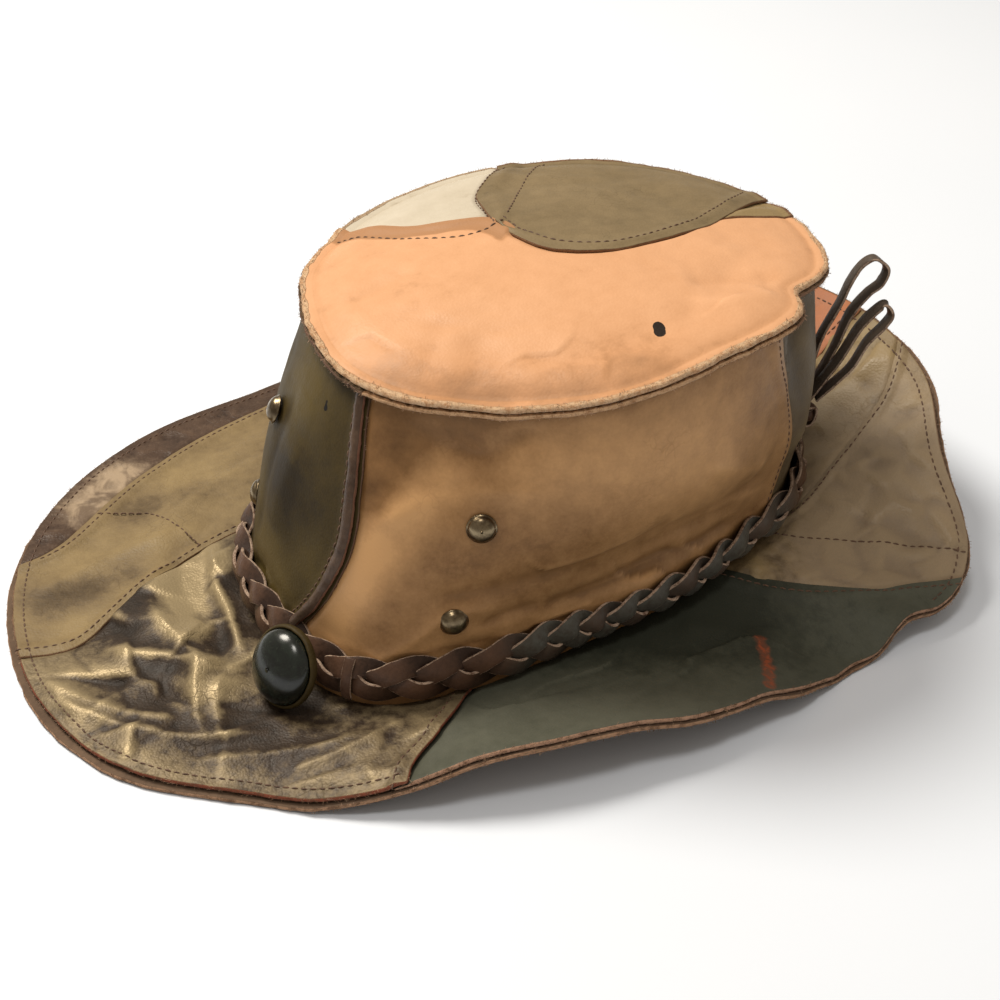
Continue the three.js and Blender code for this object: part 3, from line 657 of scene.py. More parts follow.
# %% Folds of the brim
BRIM_FOLDS = [    # height, width, sharpness, then the line: angle and part of the way to the rim
    (2.8, 2.6, 0.5, [(240, 0.16), (252, 0.13), (265, 0.09), (279, 0.15)]),
    (-2.6, 3.6, 1.2, [(239, 0.27), (254, 0.22), (267, 0.17), (280, 0.26)]),
    (3.4, 5.5, 0.6, [(255.5, 0.41), (270, 0.33), (276.5, 0.35), (290.5, 0.67)]),
    (2.2, 4, 0.6, [(279.5, 0.26), (292, 0.64)]),
    (2.6, 3.5, 0.5, [(270, 0.33), (267.5, 0.21), (264, 0.15)]),
    (3, 5, 0.6, [(264, 0.66), (273, 0.38), (279.5, 0.27)]),
    (1.8, 4, 0.8, [(266, 0.93), (276, 0.77), (284.5, 0.56)]),
    (1.4, 3, 0.8, [(269, 0.96), (279, 0.8), (288.5, 0.62), (296, 0.4)]),
    (1.8, 5, 1, [(289, 0.82), (299, 0.6), (310, 0.35)]),
    (1.6, 4, 0.8, [(300, 0.8), (309, 0.5), (313, 0.2)]),
    (-1.4, 4, 1, [(282, 0.45), (292, 0.3), (304, 0.25)]),
    (1.2, 5, 2, [(234, 0.2), (240, 0.45), (247, 0.75), (251, 0.95)]),
    (-1, 7, 3, [(180, 0.1), (205, 0.35), (226, 0.6)]),
    (1.6, 6, 2, [(196, 0.2), (214, 0.35), (238, 0.42)]),
    (1.5, 4, 1, [(95, 0.82), (93.5, 0.73), (88, 0.6)]),
    (-1.4, 4, 1.2, [(97, 0.55), (90, 0.62), (82, 0.74)]),
    (1.3, 4, 1, [(72, 0.45), (68.5, 0.53), (63, 0.66), (60, 0.8)]),
    (-1.2, 4, 1, [(62, 0.4), (60, 0.5), (58.5, 0.64), (57, 0.8)]),
    (1.6, 7, 3, [(16, 0.15), (24, 0.4), (30, 0.7)]),
    (-1.5, 8, 3, [(350, 0.2), (6, 0.45), (22, 0.55)]),
    (1.2, 6, 3, [(330, 0.4), (344, 0.5), (0, 0.75)]),
]
BRIM_LINES = fold_lines(brim_under, BRIM_FOLDS)
DEEPEST = -0.5      # a fold can press a patch down this far before the lower layer stops it


def brim_relief(points, at, out, rough):
    """Height of folds, swells and fine wrinkles above the brim's plain form."""
    relief = folds_at(points, BRIM_LINES) + rough["swell"] * layered_noise(points, size=34, seed=11)
    where = 0.5 + 0.5 * lattice_noise(points, size=40, seed=3)
    relief = relief - rough["wrinkle"] * wrinkles(points, rough["size"], seed=31) * where + rough["lift"]
    stitched = smooth((1 - out) * brim_width(at) / 9) * smooth((out * brim_width(at) + 3) / 8)
    return np.maximum(relief * mix(0.12, 1, stitched), DEEPEST)


print("The brim has", len(BRIM_LINES), "folds")

# %% [markdown]
# Laps and patches
#
# Where two patches meet, the upper one rides up over the edge of the lower one, which is pared
# thin with a knife, as a sewer does it. A cloth collision could press the sheets together, but a
# rule gives the same with clean meshes: each sheet takes its rise and its thickness from the
# distance to its lapped edges. A grid's border runs along the seams, so the cut edge does too.

# %% Laps, and how folds tint the leather
LAP_OVER, LAP_UNDER = 1.6, 2.6       # each edge runs this far past the seam line
LAP_RISE, PARED = 0.95, 0.8          # the upper edge's rise, the lower edge's thickness
LAP_EDGE = 1.25                      # the upper edge's thickness


def degrees_for(length, reach):
    return np.degrees(length / reach)


def lap_shape(distance, kind):
    """Rise of the underside and thickness of the leather, at a distance from a lapped edge."""
    if kind == "over":
        return LAP_RISE * (1 - smooth((distance - 3.6) / 5)), mix(LAP_EDGE, LEATHER, smooth(distance / 4))
    if kind == "under":
        return np.zeros_like(distance), mix(PARED, LEATHER, smooth((distance - 3.6) / 3))
    return np.zeros_like(distance), np.full_like(distance, LEATHER)


def lapped(gap_a, gap_b, laps):
    """Rise and thickness of a sheet at its distances from two side edges."""
    rise_a, thick_a = lap_shape(gap_a, laps[0])
    rise_b, thick_b = lap_shape(gap_b, laps[1])
    return rise_a + rise_b, np.minimum(thick_a, thick_b)


def runs_past(laps):
    return [LAP_OVER if lap == "over" else LAP_UNDER for lap in laps]


def tone_of_relief(relief, gain):
    """Lighter ridges and darker valleys, from the relief and its own average nearby: rubbed wear and dirt, and painted
    shade in the valleys.
    """
    soft = relief.copy()
    for _ in range(12):
        soft[1:-1, 1:-1] = (soft[:-2, 1:-1] + soft[2:, 1:-1] + soft[1:-1, :-2] + soft[1:-1, 2:]) / 4
    return gain * (relief - soft)


print("A lapped edge rises", LAP_RISE, "mm over one that is pared to", PARED, "mm")


# %% One patch of the brim
CREASE_BED = 0.4        # the flat facets of stiff leather stop this far below the plain form
THINNEST = 0.6


def patch_grid(first, last, laps, step, low, high):
    """Angle and place of a patch's grid, and how far in mm each point is from the four edges."""
    width = float(brim_width(np.array(float(first(0.5) + last(0.5)) / 2)))
    span = abs(float(last(0.7) - first(0.7))) * math.radians(FOOT["reach"].mean() + 0.7 * width)
    deep = width if low is None else 0.3 * width
    s, t = np.meshgrid(grid_lines(span, step), grid_lines(deep, step), indexing="ij")
    run = runs_past(laps)
    out = t.copy()
    for _ in range(6):      # the seams lean, so angle and place are settled in turns
        reach = around(FOOT, "reach", mix(first(out), last(out), s)) + np.maximum(out, 0) * width
        near = first(out) - degrees_for(run[0], reach)
        far = last(out) + degrees_for(run[1], reach)
        at = mix(near, far, s)
        wide = brim_width(at)
        inner = -BRIM_INSET / wide if low is None else low(at) - (LAP_UNDER + 0.8) / wide
        outer = 1 - around(TRIM, "trim", at) / wide
        if high is not None:
            outer = np.minimum(outer, high(at) + LAP_OVER / wide)
        out = mix(inner, outer, t)
    edges = {"near": (at - near) * np.radians(reach), "far": (far - at) * np.radians(reach)}
    edges["inner"] = (out - inner) * wide if low is not None else None
    edges["outer"] = (high(at) + LAP_OVER / wide - out) * wide if high is not None else None
    return at, out, wide, edges


def crumpled(points, relief, out, wide, edges, rough, seed):
    """How far flat facets move the leather. They fade out towards every edge."""
    away = smooth((1 - out) * wide / 9) * smooth(out * wide / 6)
    away = away * smooth(edges["near"] / 9) * smooth(edges["far"] / 9)
    tilted = away * facets(points, rough["facet"], seed, rough["steep"])
    return settle(relief + tilted + CREASE_BED) - CREASE_BED - relief


def brim_patch(name, first, last, laps, rough, seed, step=1.0, low=None, high=None, tone_spots=()):
    """One patch between two seams. laps says which of its two side edges lies over its neighbour."""
    at, out, wide, edges = patch_grid(first, last, laps, step, low, high)
    under, normal = brim_under(at, out), brim_normal(at, out)
    rise, thick = lapped(edges["near"], edges["far"], laps)
    for edge, kind in (("inner", "under"), ("outer", "over")):
        if edges[edge] is not None:
            more_rise, edge_thick = lap_shape(edges[edge], kind)
            rise, thick = rise + more_rise, np.minimum(thick, edge_thick)
    relief = brim_relief(under, at, out, rough)
    skin = under + normal * (FACING + GAP + rise + thick + relief)[..., None]
    if "steep" in rough:
        pressed = crumpled(under, relief, out, wide, edges, rough, seed)
        relief, skin = relief + pressed, skin + normal * pressed[..., None]
    skin = skin + normal * (rough["crumple"] * layered_noise(under, 5, seed, 2))[..., None]
    thick = np.maximum(thick + np.minimum(relief, 0), THINNEST)
    inner_skin = skin - grid_normals(skin, UP) * thick[..., None]
    tone = tone_of_relief(relief, rough["rub"]) + spots_of(under, brim_under, tone_spots)
    # Painted shade: the brim is darkened within about 16 mm of the crown's foot.
    painted_shade_by_crown = smooth(1 - (out * wide) / 16)
    return leather_sheet(name, skin, inner_skin, tone - 0.35 * painted_shade_by_crown, seed)


print("A patch is at least", THINNEST, "mm thick")

# %% [markdown]
# Eight leathers, eight tempers
#
# Thin coated leather crumples into facets with sharp ridges, waxed leather rolls, and the smooth
# slate patch hardly wrinkles. Only the numbers differ, so a short table holds them, and one loop
# cuts all eight. The spots are mostly painted light and painted shade: shade near the crown and
# in folds, light on ridges and facets.

# %% The eight patches
# The rub value lightens ridges and darkens valleys: part rubbed wear, part painted shade in the folds.
ROUGH = {    # swell, crumple and wrinkle in mm; rub is how strongly ridges lighten
    "slate": {"swell": 0.9, "wrinkle": 0.15, "size": 26, "crumple": 0.08, "lift": 0.2, "rub": 0.5},
    "khaki": {
        "swell": 0.9, "wrinkle": 0.9, "size": 15, "crumple": 0.14, "lift": 1.4, "rub": 1.5, "facet": 13,
        "steep": 0.1,
    },
    "left": {"swell": 0.8, "wrinkle": 0.25, "size": 24, "crumple": 0.08, "lift": 0.3, "rub": 0.6},
    "bronze": {
        "swell": 0.9, "wrinkle": 0.45, "size": 15, "crumple": 0.1, "lift": 1.3, "rub": 1.0, "facet": 26,
        "steep": 0.06,
    },
    "lens": {
        "swell": 0.5, "wrinkle": 0.5, "size": 9, "crumple": 0.12, "lift": 0.3, "rub": 1.0, "facet": 9,
        "steep": 0.08,
    },
}


# Painted light and shade on the bronze patch: bright spots where its facets catch the light, dark ones in the folds
# between them.
BRONZE_LIGHT_AND_SHADE = [    # angle, part of the way to the rim, size in mm, strength
    (250, 0.25, 14, 1.1), (258, 0.28, 9, 0.9), (259.5, 0.46, 12, -1.1), (252, 0.45, 8, -0.8),
    (255, 0.08, 7, -1), (266, 0.28, 9, 0.9), (271, 0.15, 8, -0.5), (282, 0.4, 9, 0.5),
    (286, 0.6, 20, -0.4), (300, 0.6, 22, -0.35), (276, 0.62, 14, -0.5), (262, 0.72, 14, -0.1),
    (312, 0.5, 16, -0.2), (272, 0.42, 9, -0.6), (290, 0.3, 12, -0.5),
]
# Painted shade in broad soft bands across the left khaki patch, and painted light between them.
LEFT_LIGHT_AND_SHADE = [
    (252, 0.82, 9, -0.9), (250.5, 0.66, 8, -0.8), (248, 0.5, 7, -0.4), (244, 0.7, 11, 0.4),
    (258, 0.72, 7, 0.5), (231, 0.6, 10, -0.5), (226, 0.42, 9, -0.4), (220, 0.55, 12, 0.4),
    (238, 0.42, 9, 0.3), (210, 0.3, 14, -0.3),
]
BRIM_PATCHES = [
    # The slate patch's spots are painted shade where the crown shades it near the band, and painted light towards the
    # rim; the khaki patches' spots are painted light, and painted shade near the crown.
    ("brim_slate", "slate_leather", back_a_turn(BRONZE_SLATE), SLATE_KHAKI, ("under", "over"), "slate",
     {"tone_spots": [(10, 0.12, 22, -0.7), (25, 0.15, 26, -1), (36, 0.3, 24, -0.6), (352, 0.1, 20, -0.4),
                     (340, 0.7, 24, 0.35), (358, 0.75, 22, 0.3)]}),
    ("brim_khaki_lower", "khaki_leather", SLATE_KHAKI, KHAKI_DIAGONAL, ("under", "over"), "khaki",
     {"tone_spots": [(62, 0.25, 14, 0.5), (72, 0.65, 12, -0.4), (66, 0.8, 10, 0.5)]}),
    ("brim_khaki_upper", "khaki_leather", KHAKI_DIAGONAL, KHAKI_RUST, ("under", "under"), "khaki",
     {"tone_spots": [(90, 0.1, 20, -0.3), (88, 0.7, 18, 0.6), (77, 0.3, 18, 0.8)]}),
    ("brim_rust", "rust_leather", KHAKI_RUST, RUST_BROWN, ("over", "under"), "left", {"step": 1.4}),
    ("brim_brown", "brown_leather", RUST_BROWN, BROWN_LEFT, ("over", "under"), "left", {"step": 1.4}),
    ("brim_khaki_left", "khaki_leather", BROWN_LEFT, LEFT_BRONZE, ("over", "over"), "left",
     {"high": dark_edge, "step": 1.2, "tone_spots": LEFT_LIGHT_AND_SHADE}),
    ("brim_dark_edge", "brown_leather", seam((0, 167.5), (1, 167.5)), seam((0, 244.5), (1, 244.5)),
     ("none", "none"), "lens", {"low": dark_edge}),
    ("brim_bronze", "bronze_leather", LEFT_BRONZE, BRONZE_SLATE, ("under", "over"), "bronze",
     {"step": 0.8, "tone_spots": BRONZE_LIGHT_AND_SHADE}),
]
for seed, (name, slot, first, last, laps, rough, more) in enumerate(BRIM_PATCHES, 100):
    keep(brim_patch(name + "_patch", first, last, laps, ROUGH[rough], seed, **more), [name], slot)

# %% [markdown]
# The brim's lower layer
#
# Under the patches lies one ring of suede, cut by hand a little wider than they are: the line of
# brown that the eye sees all round the rim. It could be cut in patches too, but it has no seams,
# so one closed ring is simpler and has no gap.

# %% The brim's lower layer
def facing_sheet(name):
    turn = np.linspace(0, 360, 500, endpoint=False)
    place = np.concatenate([np.linspace(0, 0.9, 20), [0.95, 0.98, 0.995, 1.0]])     # finer at the rim
    at, t = np.meshgrid(turn, place, indexing="ij")
    wide = brim_width(at)
    wander = 0.5 * layered_noise(polar(turn, 150, 0), size=12, seed=71)[:, None]
    out = mix(-BRIM_INSET / wide, 1 + wander / wide, t)
    under = brim_under(at, out)
    skin = under + brim_normal(at, out) * FACING
    return leather_sheet(name, skin, under, np.zeros_like(at), seed=61, ragged=0.3, ring=True)


keep(facing_sheet("brim_facing_layer"), ["brim_facing"], "facing_suede")

# %% [markdown]
# The crown's side
#
# Five panels stand round the head. At the top each turns outwards as a narrow lip, and the tip's
# lip lies on it: that is the raw double edge that runs round the top of the hat. A Bevel modifier
# could round the corner between wall and lip, but it would round the cut edges too. Averaging the
# rows next to the corner rounds only that, on the radius that thick leather turns on.

# %% Seams and folds of the side
OLIVE_TAN = seam(
    (0, 281), (0.14, 285), (0.27, 290.5), (0.42, 295), (0.55, 297), (0.73, 296), (0.87, 294),
    (1, 292.5),
)
TAN_GREY = seam((0, 411), (0.25, 414), (0.54, 411), (0.84, 402.5), (1, 400))
GREY_BROWN = seam((0, 457), (1, 454))
BROWN_KHAKI = seam((0, 150), (1, 151))
KHAKI_OLIVE = seam((0, 222), (1, 220))
SIDE_FOLDS = [    # height, width, sharpness, then the line: angle and part of the height
    (-1.6, 2.5, 0.8, [(352, 0.15), (5, 0.235), (17, 0.255), (27, 0.2)]),
    (1.5, 6, 3, [(336, 0.13), (350, 0.2), (8, 0.24)]),
    (-0.9, 2, 0.6, [(306, 0.1), (313, 0.16), (322, 0.18), (331, 0.165)]),
    (1.1, 3, 1, [(299, 0.1), (309, 0.2), (318, 0.31), (330, 0.3)]),
    (-0.8, 1.6, 0.5, [(323, 0.24), (331, 0.27), (340, 0.26)]),
    (1.4, 5, 2, [(300, 0.6), (312, 0.7), (326, 0.74), (345, 0.7)]),
    (-1.2, 4, 2, [(307, 0.98), (313, 0.88), (322, 0.84), (333, 0.9), (340, 0.97)]),
    (-1.2, 4, 2, [(341, 0.42), (352, 0.38), (10, 0.36), (32, 0.32), (46, 0.24)]),
    (1.2, 4, 2, [(20, 0.62), (34, 0.5), (46, 0.42)]),
    (1.2, 1.2, 0.5, [(268, 0.2), (274, 0.155), (281, 0.15)]),
    (1.2, 1.5, 0.5, [(270, 0.13), (277, 0.1), (283, 0.12)]),
    (-1.2, 2.5, 1, [(258, 0.12), (268, 0.17), (280, 0.1)]),
    (1.4, 6, 3, [(268, 0.3), (272, 0.5), (276, 0.75)]),
    (-1.6, 6, 3, [(258, 0.2), (262, 0.5), (262, 0.85)]),
    (2, 7, 3, [(56, 0.9), (60, 0.6), (58, 0.3)]),
    (-2, 6, 3, [(70, 0.95), (74, 0.6), (70, 0.25)]),
    (1.5, 8, 3, [(120, 0.9), (128, 0.5), (122, 0.2)]),
    (-1.6, 8, 3, [(172, 0.9), (178, 0.5), (170, 0.2)]),
    (1.5, 8, 3, [(200, 0.85), (196, 0.5), (204, 0.2)]),
]
SIDE_LINES = fold_lines(side_point, SIDE_FOLDS)


def side_relief(points, up, rough):
    relief = folds_at(points, SIDE_LINES) + rough["swell"] * layered_noise(points, size=30, seed=41)
    where = smooth(lattice_noise(points, size=30, seed=44) + 0.3)
    relief = relief - rough["wrinkle"] * wrinkles(points, size=20, seed=43) * where
    return relief * smooth((1 - up) * WALL_HIGH / 8) * mix(0.4, 1, smooth(up * WALL_HIGH / 12))


print("The side has", len(SIDE_LINES), "folds")


# %% The lip and the corner
LIP_ROWS = 7
CORNER_PASSES = 8


def at_the_lip_line(at):
    return polar(at, TIP_REACH, 0)


def lip_length(at):
    """The lip's width wanders, because it was trimmed by hand."""
    line = at_the_lip_line(at)
    return LIP + 0.7 * layered_noise(line, size=16, seed=21) + 0.25 * lattice_noise(line, size=4, seed=23)


def lip_droop(at):
    return LIP_DROOP + 0.9 * lattice_noise(at_the_lip_line(at), size=26, seed=24)


def round_corner(skin, row, reach=6):
    """Averages the rows next to the corner, so that the leather turns on a small radius."""
    for _ in range(CORNER_PASSES):
        part = slice(row - reach, row + reach - 1)
        before, after = slice(row - reach - 1, row + reach - 2), slice(row - reach + 1, row + reach)
        skin[:, part] = (skin[:, before] + 2 * skin[:, part] + skin[:, after]) / 4
    return skin


lip_widths = lip_length(np.arange(0.0, 360.0, 5.0))
print("The lip is", round(float(lip_widths.min()), 1), "to", round(float(lip_widths.max()), 1), "mm wide")


# %% One panel of the side
def side_panel(name, first, last, laps, rough, seed, tone_spots=()):
    """One panel between two seams, with its lip."""
    span = abs(float(last(0.5) - first(0.5))) * math.radians(WALL_REACH)
    wall = grid_lines(WALL_HIGH, rough["step"])[:-2]
    ups = np.concatenate([wall, [1.0], 1 + grid_lines(LIP, LIP / LIP_ROWS)[1:]])
    s, up = np.meshgrid(grid_lines(span, rough["step"]), ups, indexing="ij")
    wall_up = np.minimum(up, 1)
    run = runs_past(laps)
    reach = WALL_REACH + mix(2.0, -2.0, wall_up)
    near, far = first(wall_up) - degrees_for(run[0], reach), last(wall_up) + degrees_for(run[1], reach)
    at = mix(near, far, s)
    base = side_point(at, wall_up)
    on_lip = np.maximum(up - 1, 0)[..., None]
    lip = polar(at, 1, 0) * lip_length(at)[..., None] - UP * lip_droop(at)[..., None]
    skin = round_corner(base + lip * on_lip, len(wall))
    rise, thick = lapped((at - near) * np.radians(reach), (far - at) * np.radians(reach), laps)
    relief = side_relief(base, wall_up, rough)
    outwards = polar(at, 1, 0) * (up < 1)[..., None]
    normal = grid_normals(skin, outwards)
    outer = skin + normal * (relief + (rise + thick - LEATHER) * smooth((1.02 - up) * 30))[..., None]
    outer = outer + normal * (rough["crumple"] * layered_noise(base, 5, seed, 2))[..., None]
    inner = outer - grid_normals(outer, outwards) * thick[..., None]
    tone = tone_of_relief(relief, rough["rub"]) + spots_of(base, side_point, tone_spots)
    # Painted shade: the panel is darkened just under its lip and just above the band.
    painted_shade_under_lip, painted_shade_above_band = smooth((wall_up - 0.93) / 0.07) * (up <= 1), smooth(1 - up * 12)
    return leather_sheet(name, outer, inner, tone - 0.5 * painted_shade_under_lip - 0.3 * painted_shade_above_band, seed)


print("A panel's lip has", LIP_ROWS, "rows of faces")


# %% The five panels
# The rub value lightens ridges and darkens valleys: part rubbed wear, part painted shade in the folds.
SIDE_ROUGH = {
    "tan": {"step": 1.1, "swell": 0.7, "wrinkle": 0.12, "crumple": 0.05, "rub": 0.5},
    "olive": {"step": 1.0, "swell": 0.7, "wrinkle": 0.2, "crumple": 0.06, "rub": 0.8},
    "plain": {"step": 1.5, "swell": 0.9, "wrinkle": 0.25, "crumple": 0.07, "rub": 0.6},
}
# Spots: angle, part of the height, size in mm, strength. On the tan panel they are a painted pool of
# light along a diagonal, painted shadow under the lip above it, and broad lighter and darker tone
# further round; the olive panel's spots are lighter and darker patches.
TAN_LIGHT_AND_SHADE = [
    (290, 0.12, 9, 0.8), (294, 0.25, 9, 0.9), (299, 0.4, 9, 0.9), (304, 0.54, 9, 0.8), (309, 0.67, 9, 0.7),
    (315, 0.78, 9, 0.5), (300, 0.1, 11, 0.4), (303, 0.87, 11, -0.8), (300.5, 0.72, 6, -0.8),
    (320, 0.9, 9, -0.3), (372, 0.72, 24, 0.35), (350, 0.78, 20, 0.3), (385, 0.5, 20, 0.2),
    (316, 0.14, 10, 0.35), (340, 0.4, 18, -0.2),
]
OLIVE_SPOTS = [
    (268, 0.85, 15, 0.7), (274, 0.55, 15, -0.5), (286, 0.4, 9, 0.3), (270, 0.2, 15, 1.0),
    (256, 0.4, 10, 0.4),
]
SIDE_PANELS = [
    ("side_tan", OLIVE_TAN, TAN_GREY, ("under", "over"), "tan", "tan_leather", TAN_LIGHT_AND_SHADE),
    ("side_grey", TAN_GREY, GREY_BROWN, ("under", "over"), "plain", "grey_leather", ()),
    ("side_brown", back_a_turn(GREY_BROWN), BROWN_KHAKI, ("under", "over"), "plain", "brown_leather", ()),
    ("side_khaki", BROWN_KHAKI, KHAKI_OLIVE, ("under", "under"), "plain", "khaki_leather", ()),
    ("side_olive", KHAKI_OLIVE, OLIVE_TAN, ("over", "over"), "olive", "olive_leather", OLIVE_SPOTS),
]
for seed, (name, first, last, laps, rough, slot, spots) in enumerate(SIDE_PANELS, 200):
    panel = side_panel(name + "_panel", first, last, laps, SIDE_ROUGH[rough], seed, tone_spots=spots)
    keep(panel, [name], slot)

# %% [markdown]
# The raised seam at the front
#
# Over the seam between the olive and the tan panels runs a narrow folded strip that stands up
# like a cord. A curve with a bevel would be round and even. A small sheet along the seam can
# swell in the middle, wander a little and follow the folds of the panels under it.

# %% The raised seam
WELT_FROM, WELT_TO, WELT_LONG, WELT_WIDE, WELT_THICK = 0.14, 0.985, 84.0, 3.4, 1.4


def seam_welt(name):
    rows = mix(WELT_FROM, WELT_TO, grid_lines(WELT_LONG, 0.8))
    up, across = np.meshgrid(rows, grid_lines(WELT_WIDE, 0.5, 0.25), indexing="ij")
    centre = OLIVE_TAN(up) - degrees_for(0.9, WALL_REACH)
    wander = 0.35 * layered_noise(side_point(centre, up), size=9, seed=301)
    at = centre + degrees_for((across - 0.5) * (WELT_WIDE + wander), WALL_REACH)
    base = side_point(at, up)
    normal = side_normal(at, up)
    swell = 0.55 * np.sin(np.pi * across) + 0.25 * layered_noise(base, 3, 303, 2)
    seat = 1.0 + side_relief(base, up, SIDE_ROUGH["olive"])
    outer = base + normal * (seat + WELT_THICK + swell)[..., None]
    inner = base + normal * seat[..., None]
    tone = 0.25 * layered_noise(base, size=6, seed=305)
    return leather_sheet(name, outer, inner, tone, seed=307, ragged=0.3)


keep(seam_welt("front_seam_strip"), ["front_seam_welt"], "brown_leather")

# %% [markdown]
# The tip
#
# The top of the hat is pieced from a large peach panel, a cream wedge, an olive-grey panel that
# laps over both, and a small khaki corner. Their seams are curves in plan. A knife tool could cut
# them out of one grid, but leaves ragged corners. In the tip's own measure, angle and part of the
# way out, every panel is a four-sided field: two seams, an inner end and the lip.

# %% Seams and folds of the tip
CUSP = (-23, 8)
PEACH_EDGE = [
    (-84, -47), (-46, -20), (-34, -6), (-29, 4), CUSP, (-12, 9.5), (2, 17), (10, 35), (6, 62), (-3, 84),
    (3, 124),
]
CREAM_OLIVE = [CUSP, (-37, 11), (-55, 17), (-73, 33), (-90, 48)]
KHAKI_EDGE = [(0, 80), (-10, 97), (-24, 124)]
TIP_FOLDS = [    # height, width, sharpness, then the line: angle and part of the way out
    (-0.6, 4, 2, [(300, 0.55), (304, 0.75), (309, 0.97)]),
    (0.5, 4, 2, [(306, 0.6), (312, 0.8), (316, 0.97)]),
    (-0.4, 3, 1.5, [(316, 0.65), (321, 0.85), (324, 0.97)]),
    (0.5, 5, 2, [(328, 0.6), (334, 0.8), (337, 0.97)]),
    (-0.8, 6, 3, [(345, 0.75), (0, 0.8), (20, 0.82), (38, 0.86)]),
    (0.9, 6, 3, [(285, 0.86), (310, 0.88), (335, 0.88), (0, 0.9)]),
    (1.2, 5, 2, [(35, 0.7), (42, 0.85), (50, 0.97)]),
    (-1.2, 4, 2, [(46, 0.62), (53, 0.8), (58, 0.96)]),
    (-0.7, 3, 1, [(250, 0.5), (258, 0.7), (262, 0.92)]),
]


def tip_top(at, place):
    return tip_under(at, place) + UP * LEATHER


TIP_LINES = fold_lines(tip_top, TIP_FOLDS)


def tip_relief(points, place):
    relief = folds_at(points, TIP_LINES)
    relief = relief + 0.8 * layered_noise(points, size=36, seed=51) + 0.25 * layered_noise(points, 12, 52)
    return relief * smooth((1 - place) * 90 / 7)


print("The tip has", len(TIP_LINES), "folds")


# %% Curves in plan
LEFT_OF_CREAM, BEHIND = -160.0, 20.0     # angles from which a panel's own angles are counted


def plan_curve(spots, reach=0.0):
    """A smooth curve through plan points, moved aside by reach mm, up to the tip's crease."""
    plan = curve_at(spots, np.linspace(0, len(spots) - 1, 40 * len(spots)))
    ahead = unit(np.gradient(plan, axis=0))
    plan = plan + reach * np.stack([-ahead[:, 1], ahead[:, 0]], -1)
    inside = np.hypot(*plan.T) <= crease_reach(np.degrees(np.arctan2(plan[:, 1], plan[:, 0])))
    return plan[inside]


def spread_evenly(curve, parts):
    walked = np.concatenate([[0], np.cumsum(np.linalg.norm(np.diff(curve, axis=0), axis=-1))])
    return np.stack([np.interp(parts * walked[-1], walked, curve[:, k]) for k in range(curve.shape[1])], -1)


def to_polar(plan, start=LEFT_OF_CREAM):
    """Angle, from start upwards, and part of the way to the crease."""
    at = (np.degrees(np.arctan2(plan[..., 1], plan[..., 0])) - start) % 360 + start
    return at, np.hypot(plan[..., 0], plan[..., 1]) / crease_reach(at)


edge_run = np.linalg.norm(np.diff(plan_curve(PEACH_EDGE), axis=0), axis=-1).sum()
print("The peach panel's seam is", round(float(edge_run)), "mm long")


# %% One panel of the tip
GROOVE_DEEP, GROOVE_WIDE = 0.3, 1.6      # where the stitching round the top pulls the leather down
PUFF, PUFF_FROM, PUFF_WIDE = 0.45, 8.0, 7.0      # and the soft roll that it raises beside it


def tip_sheet(name, at, place, gaps, seed, darker=0.0, tone_spots=()):
    """A panel of the tip from its grid. gaps gives each lapped edge's distances, kind and share."""
    on_lip = np.maximum(place - 1, 0)[..., None]
    lip = polar(at, 1, 0) * (lip_length(at) - 0.4)[..., None] - UP * lip_droop(at)[..., None]
    base = tip_under(at, np.minimum(place, 1)) + lip * on_lip
    rise, thick = np.zeros_like(at), np.full_like(at, LEATHER)
    for distance, kind, share in gaps:
        edge_rise, edge_thick = lap_shape(distance, kind)
        rise, thick = rise + edge_rise * share, np.minimum(thick, mix(LEATHER, edge_thick, share))
    relief = tip_relief(base, np.minimum(place, 1))
    from_crease = (place - 1) * np.where(place < 1, TIP_REACH, LIP)
    groove = GROOVE_DEEP * np.exp(-((from_crease / GROOVE_WIDE) ** 2)) * (place < 1.5)
    puff = PUFF * np.exp(-(((from_crease + PUFF_FROM) / PUFF_WIDE) ** 2))
    grain = 0.06 * layered_noise(base, 5, seed, 2)
    outer = base + UP * (rise + thick + relief + puff - groove + grain)[..., None]
    inner = outer - UP * thick[..., None]
    # Painted shade: the line at the crease, in the stitching groove, is darkened, and the folds darken their valleys
    # as wear and as painted shade.
    tone = tone_of_relief(relief, 0.5) - 0.22 * np.exp(-((from_crease / 2.0) ** 2)) * (place < 1.2)
    tone = tone + spots_of(base, tip_top, tone_spots) - darker
    worn = smooth((from_crease - 2.6) / 1.2 + 0.8 * layered_noise(base, 7, seed + 2, 2))
    return leather_sheet(name, outer, inner, tone, seed, worn=worn)


def tip_rows(inner_length, step=1.0):
    """Grid lines from the inner edge (0) to the crease (1) and over the lip (2)."""
    return np.concatenate([grid_lines(inner_length, step)[:-2], [1.0], 1 + grid_lines(LIP, 0.7)[1:]])


print("The stitching round the top pulls a groove of", GROOVE_DEEP, "mm")


